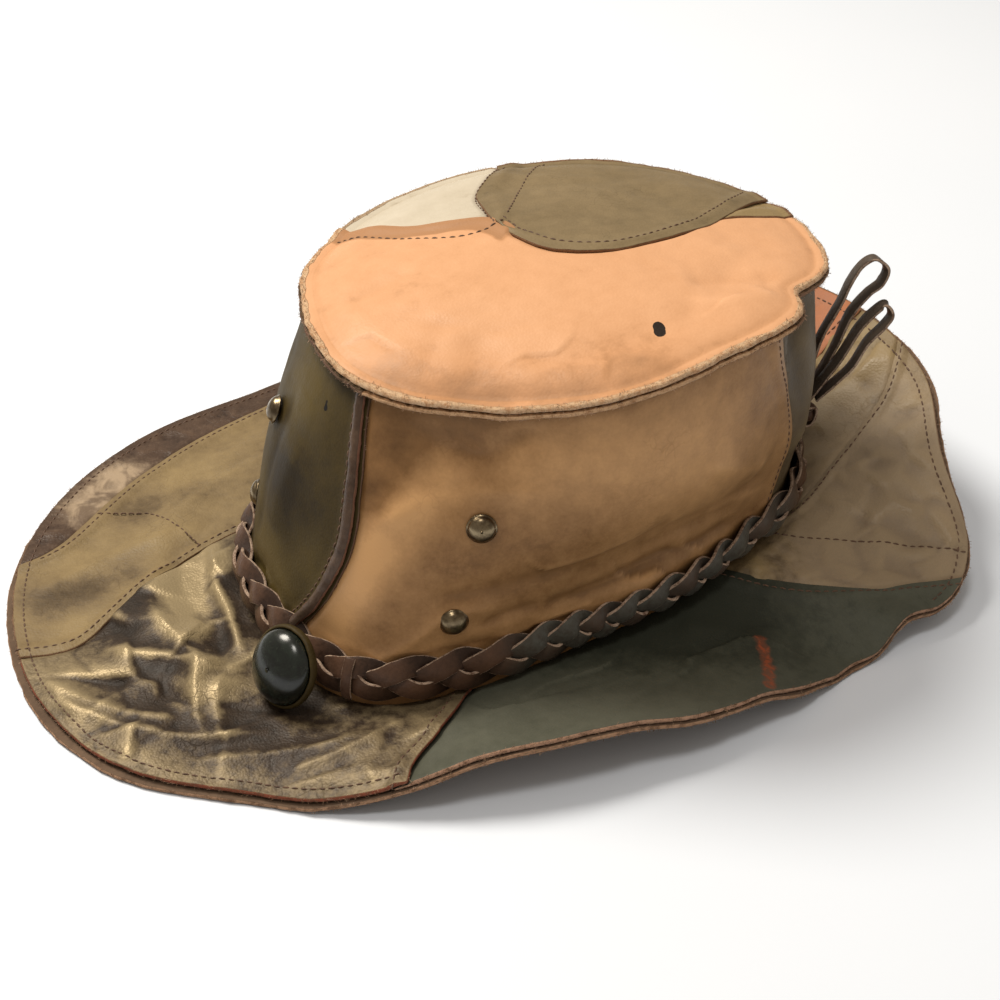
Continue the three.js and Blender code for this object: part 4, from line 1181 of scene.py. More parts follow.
# %% Wedges and the large field
def tip_wedge(name, side_a, side_b, laps, seed, start=BEHIND, **more):
    """A panel between two curves that leave one corner and end at the crease."""
    t = tip_rows(max(np.linalg.norm(np.diff(side_a, axis=0), axis=-1).sum(), 30))
    s = grid_lines(float(np.linalg.norm(side_a[-1] - side_b[-1])) + 6, 1.0)
    inner_t = np.minimum(t, 1)
    at_a, place_a = to_polar(spread_evenly(side_a, inner_t), start)
    at_b, place_b = to_polar(spread_evenly(side_b, inner_t), start)
    place_a[inner_t >= 1] = place_b[inner_t >= 1] = 1
    at = mix(at_a[None], at_b[None], s[:, None])
    place = mix(place_a[None], place_b[None], s[:, None]) + np.maximum(t - 1, 0)[None]
    sides = [polar(angle, part * TIP_REACH, 0) for angle, part in ((at_a, place_a), (at_b, place_b))]
    across = np.linalg.norm(sides[0] - sides[1], axis=-1)[None]
    gaps = [(s[:, None] * across, laps[0], 1.0), ((1 - s[:, None]) * across, laps[1], 1.0)]
    return tip_sheet(name, at, place, gaps, seed, **more)


def tip_field(name, curve, laps, cusp_part, seed, **more):
    """The large panel between one curve and the crease. Its lap changes kind at the cusp."""
    s = grid_lines(300.0, 1.2)
    t = tip_rows(95.0, 1.15)
    inner_t = np.minimum(t, 1)
    spots = spread_evenly(curve, mix(0.006, 0.994, s))
    ends = to_polar(spread_evenly(curve, np.array([0.0, 1.0])))[0]
    rim_at = mix(ends[0], ends[1], s)
    rim = polar(rim_at, crease_reach(rim_at), 0)[:, :2]
    plan = mix(spots[:, None], rim[:, None], inner_t[None, :, None])
    at, place = to_polar(plan)
    place = np.where(inner_t[None] >= 1, 1, place) + np.maximum(t - 1, 0)[None]
    at = np.where(inner_t[None] >= 1, rim_at[:, None], at)
    distance = inner_t[None] * np.linalg.norm(rim - spots, axis=-1)[:, None]
    share = smooth((s - cusp_part) * 40 + 0.5)[:, None] + 0 * distance
    # Painted shade: the overlapping edge is darkened inside its row of stitches.
    strip = 1.3 * smooth((12 - distance) / 2) * (1 - share)     # the leather is darker inside its stitches
    gaps = [(distance, laps[0], 1 - share), (distance, laps[1], share)]
    return tip_sheet(name, at, place, gaps, seed, darker=strip, **more)


print("The large field has", len(tip_rows(95.0, 1.15)), "rows from its seam to the lip's edge")

# %% The four panels
CUSP_PART = 0.36        # where the cusp is along the peach panel's seam
# Painted shade along the tip's front edge: angle, part of the way out, size in mm, strength.
TIP_EDGE_SHADE = [(300, 0.98, 12, -0.6), (322, 1.0, 13, -0.8), (345, 1.0, 12, -0.5), (2, 0.93, 12, -0.7)]
peach_seam = plan_curve(PEACH_EDGE, 2.0)
cream_sides = plan_curve(PEACH_EDGE[4::-1], LAP_UNDER), plan_curve(CREAM_OLIVE, -LAP_UNDER)
olive_sides = plan_curve(CREAM_OLIVE, LAP_OVER), plan_curve(PEACH_EDGE[4:9] + KHAKI_EDGE, -LAP_OVER)
khaki_sides = (
    plan_curve([(3, 70)] + KHAKI_EDGE, LAP_UNDER), plan_curve([(3, 70), (-2, 84), (3, 124)], -LAP_OVER)
)
look = {"tone_spots": TIP_EDGE_SHADE}
peach = tip_field("tip_peach_panel", peach_seam, ("over", "under"), CUSP_PART, 400, **look)
keep(peach, ["tip_peach"], "peach_leather")
keep(tip_wedge("tip_cream_panel", *cream_sides, ("under", "under"), 401), ["tip_cream"], "cream_leather")
keep(tip_wedge("tip_olive_panel", *olive_sides, ("over", "over"), 402), ["tip_olive"], "taupe_leather")
khaki = tip_wedge("tip_khaki_panel", *khaki_sides, ("under", "over"), 403, darker=-0.8)
keep(khaki, ["tip_khaki"], "khaki_leather")

# %% [markdown]
# Studs, stone and setting
#
# A brass stud is pressed to a dome, a stone is ground to one: both are a profile turned round an
# axis. A Screw modifier does that too, but a function can also stretch the stone to an oval, add
# the small dents of use, and stand each piece upright on the leather under it.

# %% Turned pieces
STUD_SIDES, STONE_SIDES = 40, 72


def spun(name, profile, place, axis, sides, oval=(1.0, 1.0), dents=0.0, seed=0):
    """A closed body from a profile (reach, height) spun round an axis."""
    profile = np.array(profile, float)
    axis = unit(np.asarray(axis, float))
    across = unit(np.cross(UP, axis))
    high = np.cross(axis, across)
    turn = np.linspace(0, 2 * np.pi, sides, endpoint=False)
    ring = across * (oval[0] * np.cos(turn))[:, None] + high * (oval[1] * np.sin(turn))[:, None]
    middle = profile[1:-1]
    body = middle[None, :, :1] * ring[:, None] + middle[None, :, 1:] * axis
    body = body + axis * (dents * layered_noise(body, 2.2, seed, 2))[..., None]
    poles = [axis * profile[0, 1], axis * profile[-1, 1]]
    points = np.concatenate([body.reshape(-1, 3), poles]) + place
    index = np.arange(sides * len(middle)).reshape(sides, -1)
    faces = grid_faces(np.vstack([index, index[:1]]))[:, ::-1].tolist()
    foot, top = index.size, index.size + 1
    for here, ahead in zip(index.tolist(), np.roll(index, -1, axis=0).tolist()):
        faces += [(ahead[0], here[0], foot), (here[-1], ahead[-1], top)]
    return new_piece(name, points, faces)


def arc(reach, height, start, end, steps, base=0.0, centre=0.0):
    turns = np.radians(np.linspace(start, end, steps))
    return [(centre + reach * math.cos(turn), base + height * math.sin(turn)) for turn in turns]


print("A stud turns in", STUD_SIDES, "sides, the stone in", STONE_SIDES)

# %% The studs
STUDS = {    # angle and part of the height
    "stud_tan_high": (325, 0.62), "stud_tan_low": (319, 0.28), "stud_olive_high": (255.5, 0.68),
    "stud_olive_low": (247, 0.27),
}


def stud(name, at, up, seed):
    """A dome stud with a rolled rim, its shank and the head inside the crown."""
    skin = side_point(np.array(at), np.array(up))
    normal = side_normal(np.array(at), np.array(up))
    rim = [(0, -2.9), (2.4, -2.9), (2.6, -2.6), (2.4, -2.2), (1.1, -2.1), (1.1, 0.2), (4.4, 0.25)]
    rim += arc(0.5, 0.4, -80, 60, 6, base=0.65, centre=4.5)
    dome = arc(4.5, 2.9, 12, 88, 12, base=0.75) + [(0, 3.66)]
    return spun(name, rim + dome, skin, normal, STUD_SIDES, dents=0.1, seed=seed)


for seed, (name, (at, up)) in enumerate(STUDS.items(), 500):
    keep(stud(name + "_dome", at, up, seed), [name], "antique_brass")

# %% The stone and its cup
STONE = {
    "at": 291.0, "wide": 24.0, "tall": 25.5, "dome": 7.0, "girdle": 1.4, "out": 10.6, "up": 12.2,
    "lean": 24.0,
}
OVAL = (1, STONE["tall"] / STONE["wide"])


def stone_frame():
    lean = math.radians(STONE["lean"])
    out = polar(np.array(STONE["at"]), 1, 0)
    place = side_point(np.array(STONE["at"]), np.array(0.0)) + out * STONE["out"] + UP * STONE["up"]
    return place, out * math.cos(lean) + UP * math.sin(lean)


def stone(name):
    place, face = stone_frame()
    half = STONE["wide"] / 2
    profile = [(0, 0), (0.9 * half, 0), (0.97 * half, 0.3)]
    profile += arc(half, STONE["dome"], 4, 87, 26, base=STONE["girdle"] * 0.6) + [(0, STONE["dome"] + 0.84)]
    return spun(name, profile, place, face, STONE_SIDES, oval=OVAL, dents=0.05, seed=511)


def stone_cup(name):
    """The leather behind the stone, with a soft rim that holds its edge."""
    place, face = stone_frame()
    half = STONE["wide"] / 2
    profile = [(0, -2.0), (half + 0.4, -2.0)] + arc(0.85, 1.5, -80, 100, 9, base=-0.4, centre=half + 0.45)
    profile += [(half + 0.15, 0.9), (half + 0.1, -0.3), (0, -0.35)]
    return spun(name, profile, place, face, STONE_SIDES, oval=OVAL, dents=0.25, seed=513)


keep(stone("stone_oval"), ["stone"], "stone")
keep(stone_cup("stone_cup"), ["stone_setting"], "olive_leather")

# %% [markdown]
# Thongs and the braid
#
# A thong is a flat strip cut from leather: its grain side is smooth and its two long edges are
# raw and paler. A curve with a bevel can't say which edge is raw, so a thong is its own section
# swept along a path, with that mark on its points.

# %% Thongs
THONG_WIDE, THONG_THICK = 4.4, 1.2


def make_outward(made):
    """Turns the faces of a closed body so that they point out."""
    edit = bmesh.new()
    edit.from_mesh(made.data)
    bmesh.ops.recalc_face_normals(edit, faces=edit.faces)
    edit.to_mesh(made.data)
    edit.free()


def thong_section(half, edge, thick):
    """A thong's section and how raw each of its points is: the grain side, an edge, the back, an edge."""
    places = (-0.94, -0.6, -0.2, 0.2, 0.6, 0.94)
    section = [(x * half, edge + 0.12 * thick * math.cos(x * math.pi)) for x in places]
    section += [(half, 0.6 * edge), (half * 1.02, 0), (half, -0.6 * edge)]
    section += [(-x * half, -edge) for x in (-0.94, -0.3, 0.3, 0.94)]
    section += [(-half, -0.6 * edge), (-half * 1.02, 0), (-half, 0.6 * edge)]
    return np.array(section), np.array([0] * 6 + [1] * 3 + [0.3] * 4 + [1] * 3, float)


def thong(name, path, facing, wide, thick, closed, seed, tint=None, roll=None, tone=0.0):
    """A flat strip along a path. facing says which way its grain side looks at each point."""
    ahead = unit(np.roll(path, -1, 0) - np.roll(path, 1, 0) if closed else np.gradient(path, axis=0))
    across = unit(np.cross(facing, ahead))
    face = np.cross(ahead, across)
    if roll is not None:
        across, face = (
            across * np.cos(roll)[:, None] + face * np.sin(roll)[:, None],
            face * np.cos(roll)[:, None] - across * np.sin(roll)[:, None],
        )
    section, raw_row = thong_section(wide / 2, thick / 2, thick)
    wander = 1 + 0.1 * layered_noise(path, 9, seed)
    points = path[:, None] + across[:, None] * (section[None, :, :1] * wander[:, None, None])
    points = points + face[:, None] * section[None, :, 1:]
    ragged = 0.16 * layered_noise(points, 1.8, seed + 3, 2) * raw_row
    points = points + across[:, None] * (ragged * np.sign(section[:, 0]))[..., None]
    points = points + face[:, None] * (0.1 * layered_noise(points, 5, seed + 5))[..., None]
    sides = len(section)
    index = np.arange(len(path) * sides).reshape(len(path), sides)
    index = np.hstack([index, index[:, :1]])
    faces = grid_faces(np.vstack([index, index[:1]]) if closed else index).tolist()
    points = points.reshape(-1, 3)
    if not closed:
        faces += [list(range(sides)), list(range(len(points) - 1, len(points) - sides - 1, -1))]
    piece = new_piece(name, points, faces)
    make_outward(piece)
    set_attribute(piece, "raw", np.tile(raw_row, len(path)))
    set_attribute(piece, "tone", np.repeat(0.3 * layered_noise(path, 14, seed + 8) + tone, sides))
    set_attribute(piece, "tint", np.repeat(np.zeros(len(path)) if tint is None else tint, sides))
    return piece


def joined(name, pieces):
    """One object from several, with their attributes kept."""
    bpy.ops.object.select_all(action="DESELECT")
    for piece in pieces:
        piece.select_set(True)
    bpy.context.view_layer.objects.active = pieces[0]
    bpy.ops.object.join()
    pieces[0].name = name
    return pieces[0]


print("A thong's section has", len(thong_section(1, 1, 1)[0]), "points")

# %% [markdown]
# The braided band
#
# In a flat braid of three, each strip swings from edge to edge of the band, rises over one
# neighbour and dives under the other. One crossing could be modelled and repeated, but the hat's
# oval bends each one differently. A rule fits every place: side to side a strip follows a sine,
# up and down a sine twice as fast, and three strips, a third of a turn apart, never touch.

# %% The braid
BRAID = {"turns": 13, "strip": 7.1, "thick": 1.5, "swing": 4.3, "weave": 1.55, "steps": 28}
ROLL = -0.34        # how far a strip tips towards the edge that it swings to, in radians
SLATE_FROM, SLATE_SPREAD = 15, 50       # the band is slate coloured this far each side of an angle


def band_centre(at):
    height = (BAND_LIFT + BAND_WIDE / 2) / WALL_HIGH
    normal = side_normal(at, height)
    centre = side_point(at, np.full_like(at, height)) + normal * (BAND_CLEAR + BAND_THICK / 2)
    high = unit(np.cross(polar(at + 90, 1, 0), normal))
    return centre, normal, high * np.sign(high[:, 2:])


def braid(name):
    at = np.linspace(0, 360, BRAID["turns"] * BRAID["steps"] * 2, endpoint=False)
    centre, normal, high = band_centre(at)
    strips = []
    for k in range(3):
        phase = np.radians(at * BRAID["turns"] + 120 * k)
        loose = 1 + 0.2 * layered_noise(centre, 25, 600 + k)
        phase = phase + 0.7 * layered_noise(centre, 30, 606)
        swing = BRAID["swing"] * np.sin(phase) * loose
        lift = BRAID["weave"] * np.sin(2 * phase)
        path = centre + high * swing[:, None] + normal * lift[:, None]
        away = np.abs((at - SLATE_FROM + 180) % 360 - 180)
        slate = smooth((SLATE_SPREAD - away) / 12) * (0.5 + 0.5 * (k != 1))
        # tone: painted shade where a strip dives under its neighbour, lighter where it rides over it.
        look = {"tint": slate, "roll": ROLL * np.sin(phase), "tone": 0.4 * np.sin(2 * phase) - 0.2}
        size = BRAID["strip"], BRAID["thick"]
        strips.append(thong(f"strip_{k}", path, normal, *size, closed=True, seed=610 + 20 * k, **look))
    return joined(name, strips)


keep(braid("band_braid"), ["braided_band"], "braid_leather")

# %% [markdown]
# The bow and the keeper
#
# At the far side the band's ends are tied in a small bow: two loops of thong that stand up from a
# knot of four wound turns. A short strap, the keeper, holds the band beside the stone. The loops
# could be hung by a simulation, but stiff thong hardly sags, so each is a smooth curve through a
# few spots in space.

# %% The bow's loops
LOOP_LARGE = [
    (15.5, 113, 50.8), (18, 116.5, 72), (22, 121, 88), (24, 123, 97), (26, 126, 104), (29, 129, 107),
    (32, 132, 104), (31, 131, 98), (28, 128, 93), (24.5, 124, 84), (22, 120.5, 70), (16.5, 115.6, 50.8),
]
LOOP_SMALL = [
    (21, 112, 50.8), (26.5, 120, 68), (29, 125, 80), (32, 128.5, 87), (35, 131, 91), (37.5, 132, 88),
    (36, 130, 83), (33, 126, 76), (31, 121.5, 66), (22.5, 114.6, 50.8),
]
BOW_TURN = -10.0


def bow_loop(name, spots, seed):
    path = through(spots, 12)
    across = polar(np.full(len(path), BOW_TURN), 1, 0)
    facing = np.cross(unit(np.gradient(path, axis=0)), across)
    look = {"tint": np.full(len(path), 0.6), "roll": 0.35 * layered_noise(path, 30, seed)}
    return thong(name, path, facing, THONG_WIDE, THONG_THICK, closed=False, seed=seed, **look)


keep(bow_loop("bow_large", LOOP_LARGE, 650), ["tie_loop_large"], "braid_leather")
keep(bow_loop("bow_small", LOOP_SMALL, 660), ["tie_loop_small"], "braid_leather")

# %% The knot
KNOT = {"middle": (18.0, 111.6, 44.8), "deep": 7.0, "tall": 11.0, "turn": -9.0}
TURNS = [(-5.2, 0.14, 0.9), (0.2, -0.12, 1.0), (5.3, 0.2, 0.92), (1.5, 1.5, 0.8)]     # shift, lean, size


def eased(turn, power):
    """A cosine or sine with its rounds drawn out flat."""
    return np.sign(turn) * np.abs(turn) ** power


def knot(name):
    """Turns of thong wound over each other, with the knot's outer size."""
    along_x, along_y = polar(KNOT["turn"], 1, 0), polar(KNOT["turn"] + 90, 1, 0)
    t = np.linspace(0, 2 * np.pi, 72, endpoint=False)
    flat, wound = eased(np.cos(t), 0.7), eased(np.sin(t), 0.8)
    parts = []
    for k, (shift, lean, size) in enumerate(TURNS):
        deep, tall = (KNOT["deep"] / 2 - 0.7) * size, (KNOT["tall"] / 2 - 0.7) * size
        if lean > 1:        # the last turn runs across the others
            ring = along_x * (wound * 6.4)[:, None] + along_y * (flat * (deep + 0.5))[:, None]
            facing = along_x * wound[:, None] + along_y * flat[:, None]
        else:
            ring = along_y * (flat * deep)[:, None] + UP * (wound * tall)[:, None]
            ring = ring + along_x * (shift + lean * wound * tall)[:, None]
            facing = along_y * flat[:, None] + UP * wound[:, None]
        path = np.array(KNOT["middle"]) + ring
        parts.append(thong(f"turn_{k}", path, unit(facing), THONG_WIDE, THONG_THICK, True, 670 + 9 * k))
    return joined(name, parts)


keep(knot("bow_knot"), ["tie_knot"], "braid_leather")

# %% The keeper
KEEPER = {"at": 301.0, "wide": 3.4, "thick": 1.1, "turn": 1.15}


def keeper(name):
    centre, normal, high = band_centre(np.array([KEEPER["at"]]))
    t = np.linspace(-KEEPER["turn"], KEEPER["turn"], 30)[:, None]
    over, round_it = BAND_THICK / 2 + 0.9, BAND_WIDE / 2 + 0.2
    path = centre + normal * (over * np.cos(t)) + high * (round_it * np.sin(t))
    facing = unit(normal * np.cos(t) + high * (0.35 * np.sin(t)))
    return thong(name, path, facing, KEEPER["wide"], KEEPER["thick"], closed=False, seed=690)


keep(keeper("keeper_strap"), ["band_keeper"], "braid_leather")

# %% [markdown]
# Trees of nodes
#
# Finishes and stitches are both trees of nodes. Wired line by line, the links drown the idea, so
# one small class wraps a socket, and sums on surfaces read like sums: 1 - mask adds a Math node
# and links it. Every other node comes from one method: its type, its settings, its inputs.

# %% Node helpers
class Value:
    """A socket of a node tree that can be used in sums."""

    def __init__(self, nodes, socket):
        self.nodes, self.socket = nodes, socket

    def math(self, operation, *others, clamp=False):
        settings = {"operation": operation, "use_clamp": clamp}
        return self.nodes.add("ShaderNodeMath", settings, dict(enumerate((self, *others))))

    def __add__(self, other):
        return self.math("ADD", other)

    def __mul__(self, other):
        return self.math("MULTIPLY", other)

    def __sub__(self, other):
        return self.math("SUBTRACT", other)

    def __rsub__(self, other):
        return (self * -1.0).math("ADD", other)

    __radd__ = __add__
    __rmul__ = __mul__

    def clamped(self):
        return self.math("ADD", 0.0, clamp=True)

    def step(self, low, high):
        """0 below low, 1 above high, an easy slope between."""
        inputs = {"Value": self, "From Min": low, "From Max": high}
        return self.nodes.add("ShaderNodeMapRange", {"interpolation_type": "SMOOTHSTEP"}, inputs)

    def beside(self, name):
        """Another socket of the node that this one belongs to."""
        return Value(self.nodes, self.nodes.find(self.socket.node.outputs, name))


class Nodes:
    """A node tree, and the one way to add a node to it."""

    def __init__(self, tree):
        self.tree = tree

    def add(self, kind, settings=None, inputs=None, output=0):
        node = self.tree.nodes.new(kind)
        for name, value in (settings or {}).items():
            setattr(node, name, value)
        for name, value in (inputs or {}).items():
            socket = node.inputs[name] if isinstance(name, int) else self.find(node.inputs, name)
            if isinstance(value, Value):
                self.tree.links.new(value.socket, socket)
            else:
                socket.default_value = value
        if not node.outputs:
            return None
        if isinstance(output, int):
            return Value(self, node.outputs[output])
        return Value(self, self.find(node.outputs, output))

    @staticmethod
    def find(sockets, name):
        return next((s for s in sockets if s.identifier == name), None) or sockets[name]


print("A socket takes part in sums:", [name for name in vars(Value) if name.startswith("__r")])

# %% [markdown]
# Leather finishes
#
# Dyed hide drifts in clouds of colour, darkens in creases and pales where it is rubbed. Painted
# textures would need every sheet unwrapped, so the patterns are noise on Object coordinates, in
# true millimetres, and fit every piece. Two colours drift into each other, the tone attribute,
# which holds wear and painted light and shade, pushes that drift and the darkening towards the
# stain colour, and a fine crackle darkens the creases. The bump is pebbled grain, thin creases
# and fuzz. The cut edge and the suede side get colours of their own.

# %% Textures that leather needs
def colour(hexadecimal):
    """Linear colour from the eye's, as six hexadecimal digits."""
    parts = [int(hexadecimal[k:k + 2], 16) / 255 for k in (0, 2, 4)]
    return tuple(c / 12.92 if c <= 0.04045 else ((c + 0.055) / 1.055) ** 2.4 for c in parts) + (1.0,)


class Finish(Nodes):
    """A material with the textures that leather needs."""

    def __init__(self, name, shift):
        self.material = bpy.data.materials.new(name)
        self.material.use_nodes = True
        super().__init__(self.material.node_tree)
        self.tree.nodes.clear()
        self.home = self.add("ShaderNodeTexCoord", output="Object")
        self.place = self.vector("ADD", {0: self.home, 1: (shift * 0.37, shift * 0.21, 0.0)})

    def vector(self, operation, inputs, output=0):
        return self.add("ShaderNodeVectorMath", {"operation": operation}, inputs, output)

    def noise(self, size, detail=3.0, rough=0.55, warp=0.0):
        inputs = {"Scale": 1 / (size * MM), "Detail": detail, "Roughness": rough, "Distortion": warp}
        return self.add("ShaderNodeTexNoise", None, {"Vector": self.place, **inputs}, "Fac")

    def warped(self, size, amount):
        """The place moved about by noise, amount in mm."""
        inputs = {"Vector": self.place, "Scale": 1 / (size * MM), "Detail": 2.0}
        drift = self.add("ShaderNodeTexNoise", None, inputs, "Color")
        centred = self.vector("SUBTRACT", {0: drift, 1: (0.5, 0.5, 0.5)})
        moved = self.vector("SCALE", {0: centred, "Scale": amount * MM})
        return self.vector("ADD", {0: self.place, 1: moved})

    def cells(self, size, feature, place):
        inputs = {"Vector": place, "Scale": 1 / (size * MM)}
        return self.add("ShaderNodeTexVoronoi", {"feature": feature}, inputs, "Distance")

    def given(self, name):
        return self.add("ShaderNodeAttribute", {"attribute_name": name}, None, "Fac")

    def blend(self, factor, a, b):
        settings = {"data_type": "RGBA", "clamp_factor": True}
        inputs = {"Factor_Float": factor, "A_Color": a, "B_Color": b}
        return self.add("ShaderNodeMix", settings, inputs, "Result_Color")

    def near(self, centre, size):
        """1 at a spot given in mm round the crown's axis, fading to 0 at size mm."""
        spot = tuple((np.array(centre) + AXIS) * MM)
        return 1 - self.vector("DISTANCE", {0: self.home, 1: spot}, "Value").step(0.0, size * MM)

    def finish(self, base, roughness, height, **constants):
        bump = self.add("ShaderNodeBump", None, {"Strength": 1.0, "Distance": MM, "Height": height})
        inputs = {"Base Color": base, "Roughness": roughness, "Normal": bump, **constants}
        surface = self.add("ShaderNodeBsdfPrincipled", None, inputs)
        self.add("ShaderNodeOutputMaterial", None, {"Surface": surface})
        return self.material


print("Peach in linear light:", [round(part, 3) for part in colour("dfac83")])

# %% Colours of the leathers
# Colours: light and dark grain side, the dark of stains and painted shade, cut edge, suede side.
# Then roughness, grain and crackle in mm, size of the clouds in mm, and what sets this leather apart.
LEATHERS = [
    ("peach_leather", "dfac83 c8946a a07653 d9b894 b98a63", 0.44, 0.05, 0.02, 45, {"vary": 1.3}),
    ("cream_leather", "cfc6b5 b9ae9a 95876f b39a7e b0997e", 0.5, 0.05, 0.02, 35, {"vary": 1.3}),
    ("taupe_leather", "887658 6c5d43 483d2a 7d5f48 8a6a4e", 0.5, 0.07, 0.05, 30, {}),
    ("khaki_leather", "8d7955 6c5b41 413320 84644c 8c6d54", 0.48, 0.08, 0.07, 26, {}),
    ("tan_leather", "c99c6b 83603c 573d24 d0aa84 a67c58", 0.42, 0.05, 0.05, 40,
     {"bias": -0.25, "vary": 1.7}),
    ("grey_leather", "66573f 4b3e2b 2e2518 8a6953 86694f", 0.5, 0.07, 0.08, 25, {}),
    ("brown_leather", "5c493b 3a2c24 201812 7d5645 7d5c48", 0.34, 0.08, 0.08, 16, {}),
    ("olive_leather", "51431f 281e0a 1b1304 735748 6d5a45", 0.62, 0.06, 0.05, 34,
     {"bias": -0.1, "vary": 1.4}),
    ("bronze_leather", "998868 3e3227 1b1510 8a4d39 6b4a38", 0.44, 0.1, 0.1, 20,
     {"bias": 0.07, "vary": 2.0, "metal": 0.28}),
    ("slate_leather", "5c5d51 45473c 24271f b9937a 6f543f", 0.55, 0.06, 0.04, 32, {}),
    ("rust_leather", "b0704a 8c5536 5e3620 a5714f 94704f", 0.5, 0.06, 0.06, 30, {}),
    ("braid_leather", "5d4435 3a2a21 231812 b8a08c 6d5344", 0.4, 0.06, 0.05, 12, {"second": "5f625b"}),
    ("facing_suede", "75604e 4f3f33 35271c b08c70 6f5440", 0.85, 0.1, 0.03, 20, {}),
]
print(len(LEATHERS), "leathers")

# %% Marks of wear
SCUFF = [brim_under(mix(386.0, 376.5, t), mix(0.56, 0.92, t)) + 4.3 * UP for t in np.linspace(0, 1, 6)]
# HOLE, and the olive panel's pair of spots where a stud is lost, are holes painted as dark spots: their dark inside is
# painted shade.
HOLE = [(58.8, 20.9, 123.1), (60.9, 19.8, 123.1), (63.0, 18.7, 123.1)]
# Slot, spots in mm round the crown's axis, their size in mm, soft edge, streaks, strength, colour.
MARKS = [
    ("peach_leather", HOLE, 3.4, 0.1, 0.0, 1.0, "231a13"),
    ("slate_leather", SCUFF, 4.6, 0.6, 0.6, 0.75, "a34d2a"),
    ("olive_leather", [(12.6, -74.6, 97.4), (13.4, -74.6, 95.4)], 1.9, 0.2, 0.0, 1.0, "0c0905"),
    ("khaki_leather", [(40, 125, 45), (95, 115, 30), (110, 100, 20)], 75.0, 0.9, 0.0, 0.65, "9c8a74"),
    ("brown_leather", [(-110, -118, 2), (-101, -130, 2), (-118, -108, 2)], 18.0, 1.0, 0.7, 0.8, "b39e84"),
]


def with_marks(made, name, skin, mottle):
    """The grain side's colour with the marks that belong to this leather."""
    for slot, spots, size, soft, streaks, strength, mark in MARKS:
        if slot == name:
            worn = sum((made.near(spot, size) for spot in spots[1:]), made.near(spots[0], size))
            streak = made.noise(size * 0.7, 3.0, 0.55, 0.8).step(0.42, 0.62)
            worn = (worn + (mottle - 0.5) * 0.9).step(0.5 - soft / 2, 0.5 + soft / 2)
            skin = made.blend(worn * (streak * streaks + (1 - streaks)) * strength, skin, colour(mark))
    return skin


print("Marks of wear on:", ", ".join(mark[0] for mark in MARKS))


# %% Leather recipe
def leather(number, name, colours, rough, grain, crackle, cloud, bias=0, vary=2.2, metal=0, second=None):
    made = Finish(name, number)
    light, dark, stain_and_shade, raw, flesh = (colour(part) for part in colours.split())
    tone, cut, suede = made.given("tone"), made.given("raw"), made.given("flesh")
    clouds = made.noise(cloud, 5.0, 0.6, 0.4)
    mottle = made.noise(cloud / 6, 4.0, 0.65)
    speck = made.noise(1.1, 2.0)
    # The tone attribute holds wear and painted light and shade, and pushes the drift between the two grain colours.
    drift = (clouds * 0.6 + mottle * 0.4 - 0.5) * vary + 0.5 + bias + tone * 1.2 + (speck - 0.5) * 0.25
    grain_colour = made.blend(drift.clamped(), dark, light)
    # Dirt and painted shade: the colour goes towards the stain colour where the mottle is dark and where tone is low.
    dirt_and_shade = ((0.4 - mottle * 0.6 - clouds * 0.4) * 3.0 - tone * 1.3).clamped() * 0.8
    grain_colour = made.blend(dirt_and_shade, grain_colour, stain_and_shade)
    if second:
        other = made.blend(mottle, colour(second), dark)
        grain_colour = made.blend(made.given("tint"), grain_colour, other)
    lines = made.cells(5.0, "DISTANCE_TO_EDGE", made.warped(7.0, 8.0))
    presence = made.noise(22.0, 2.0).step(0.5, 0.75)
    creases = (1 - lines.step(0.0, 0.06)) * presence
    grain_colour = made.blend(creases * (crackle * 2.5), grain_colour, stain_and_shade)
    grain_colour = with_marks(made, name, grain_colour, mottle)
    fuzz = made.noise(0.45, 3.0, 0.7)
    pebbles = made.cells(0.95, "F1", made.warped(2.5, 0.5))
    tuft = made.noise(2.2, 3.0)
    suede_colour = made.blend(tuft.step(0.3, 0.7), stain_and_shade, flesh)
    raw_colour = made.blend((fuzz * 0.5 + tuft * 0.5).step(0.38, 0.56), flesh, raw)
    cut_mask = (cut + (fuzz - 0.5) * 0.4).step(0.3, 0.6)
    soft_side = (cut_mask + suede).clamped()
    whole = made.blend(suede, grain_colour, suede_colour)
    whole = made.blend(cut_mask, whole, raw_colour)
    rough_here = (mottle - 0.5) * 0.25 + rough + creases * 0.15 - tone * 0.08 + soft_side * (0.9 - rough)
    skin_height = pebbles * -grain - creases * crackle + speck * (grain * 0.6)
    height = skin_height * (1 - soft_side) + fuzz * soft_side * 0.6
    constants = {"Specular IOR Level": 0.2}
    if metal:
        constants["Metallic"] = (1 - soft_side) * (drift.clamped() * 0.6 + 0.4) * metal
    return made.finish(whole, rough_here.clamped(), height, **constants)


FINISHES = {row[0]: leather(number, *row[:-1], **row[-1]) for number, row in enumerate(LEATHERS, 1)}
print("Leather finishes:", ", ".join(FINISHES))

# %% [markdown]
# Stone, brass and thread
#
# The stone is dark and polished, with faint green clouds: a low roughness and a thin coat show
# the window in it. The brass is old, bright where hands reach it and dull elsewhere. Both could
# be plain colours, but the eye looks for wear.

# %% Stone, brass and thread
def polished_stone():
    made = Finish("stone", 31)
    clouds = made.noise(6.0, 6.0, 0.65, 1.2)
    veins = made.noise(2.0, 4.0, 0.6, 2.0)
    base = made.blend(clouds.step(0.35, 0.7), colour("070a08"), colour("182019"))
    base = made.blend(veins.step(0.56, 0.7) * 0.5, base, colour("363c31"))
    rough = made.noise(4.0, 3.0) * 0.14 + 0.16
    polish = {"Coat Weight": 0.1, "Coat Roughness": 0.12}
    return made.finish(base, rough, made.noise(1.5, 2.0) * 0.02, **polish)


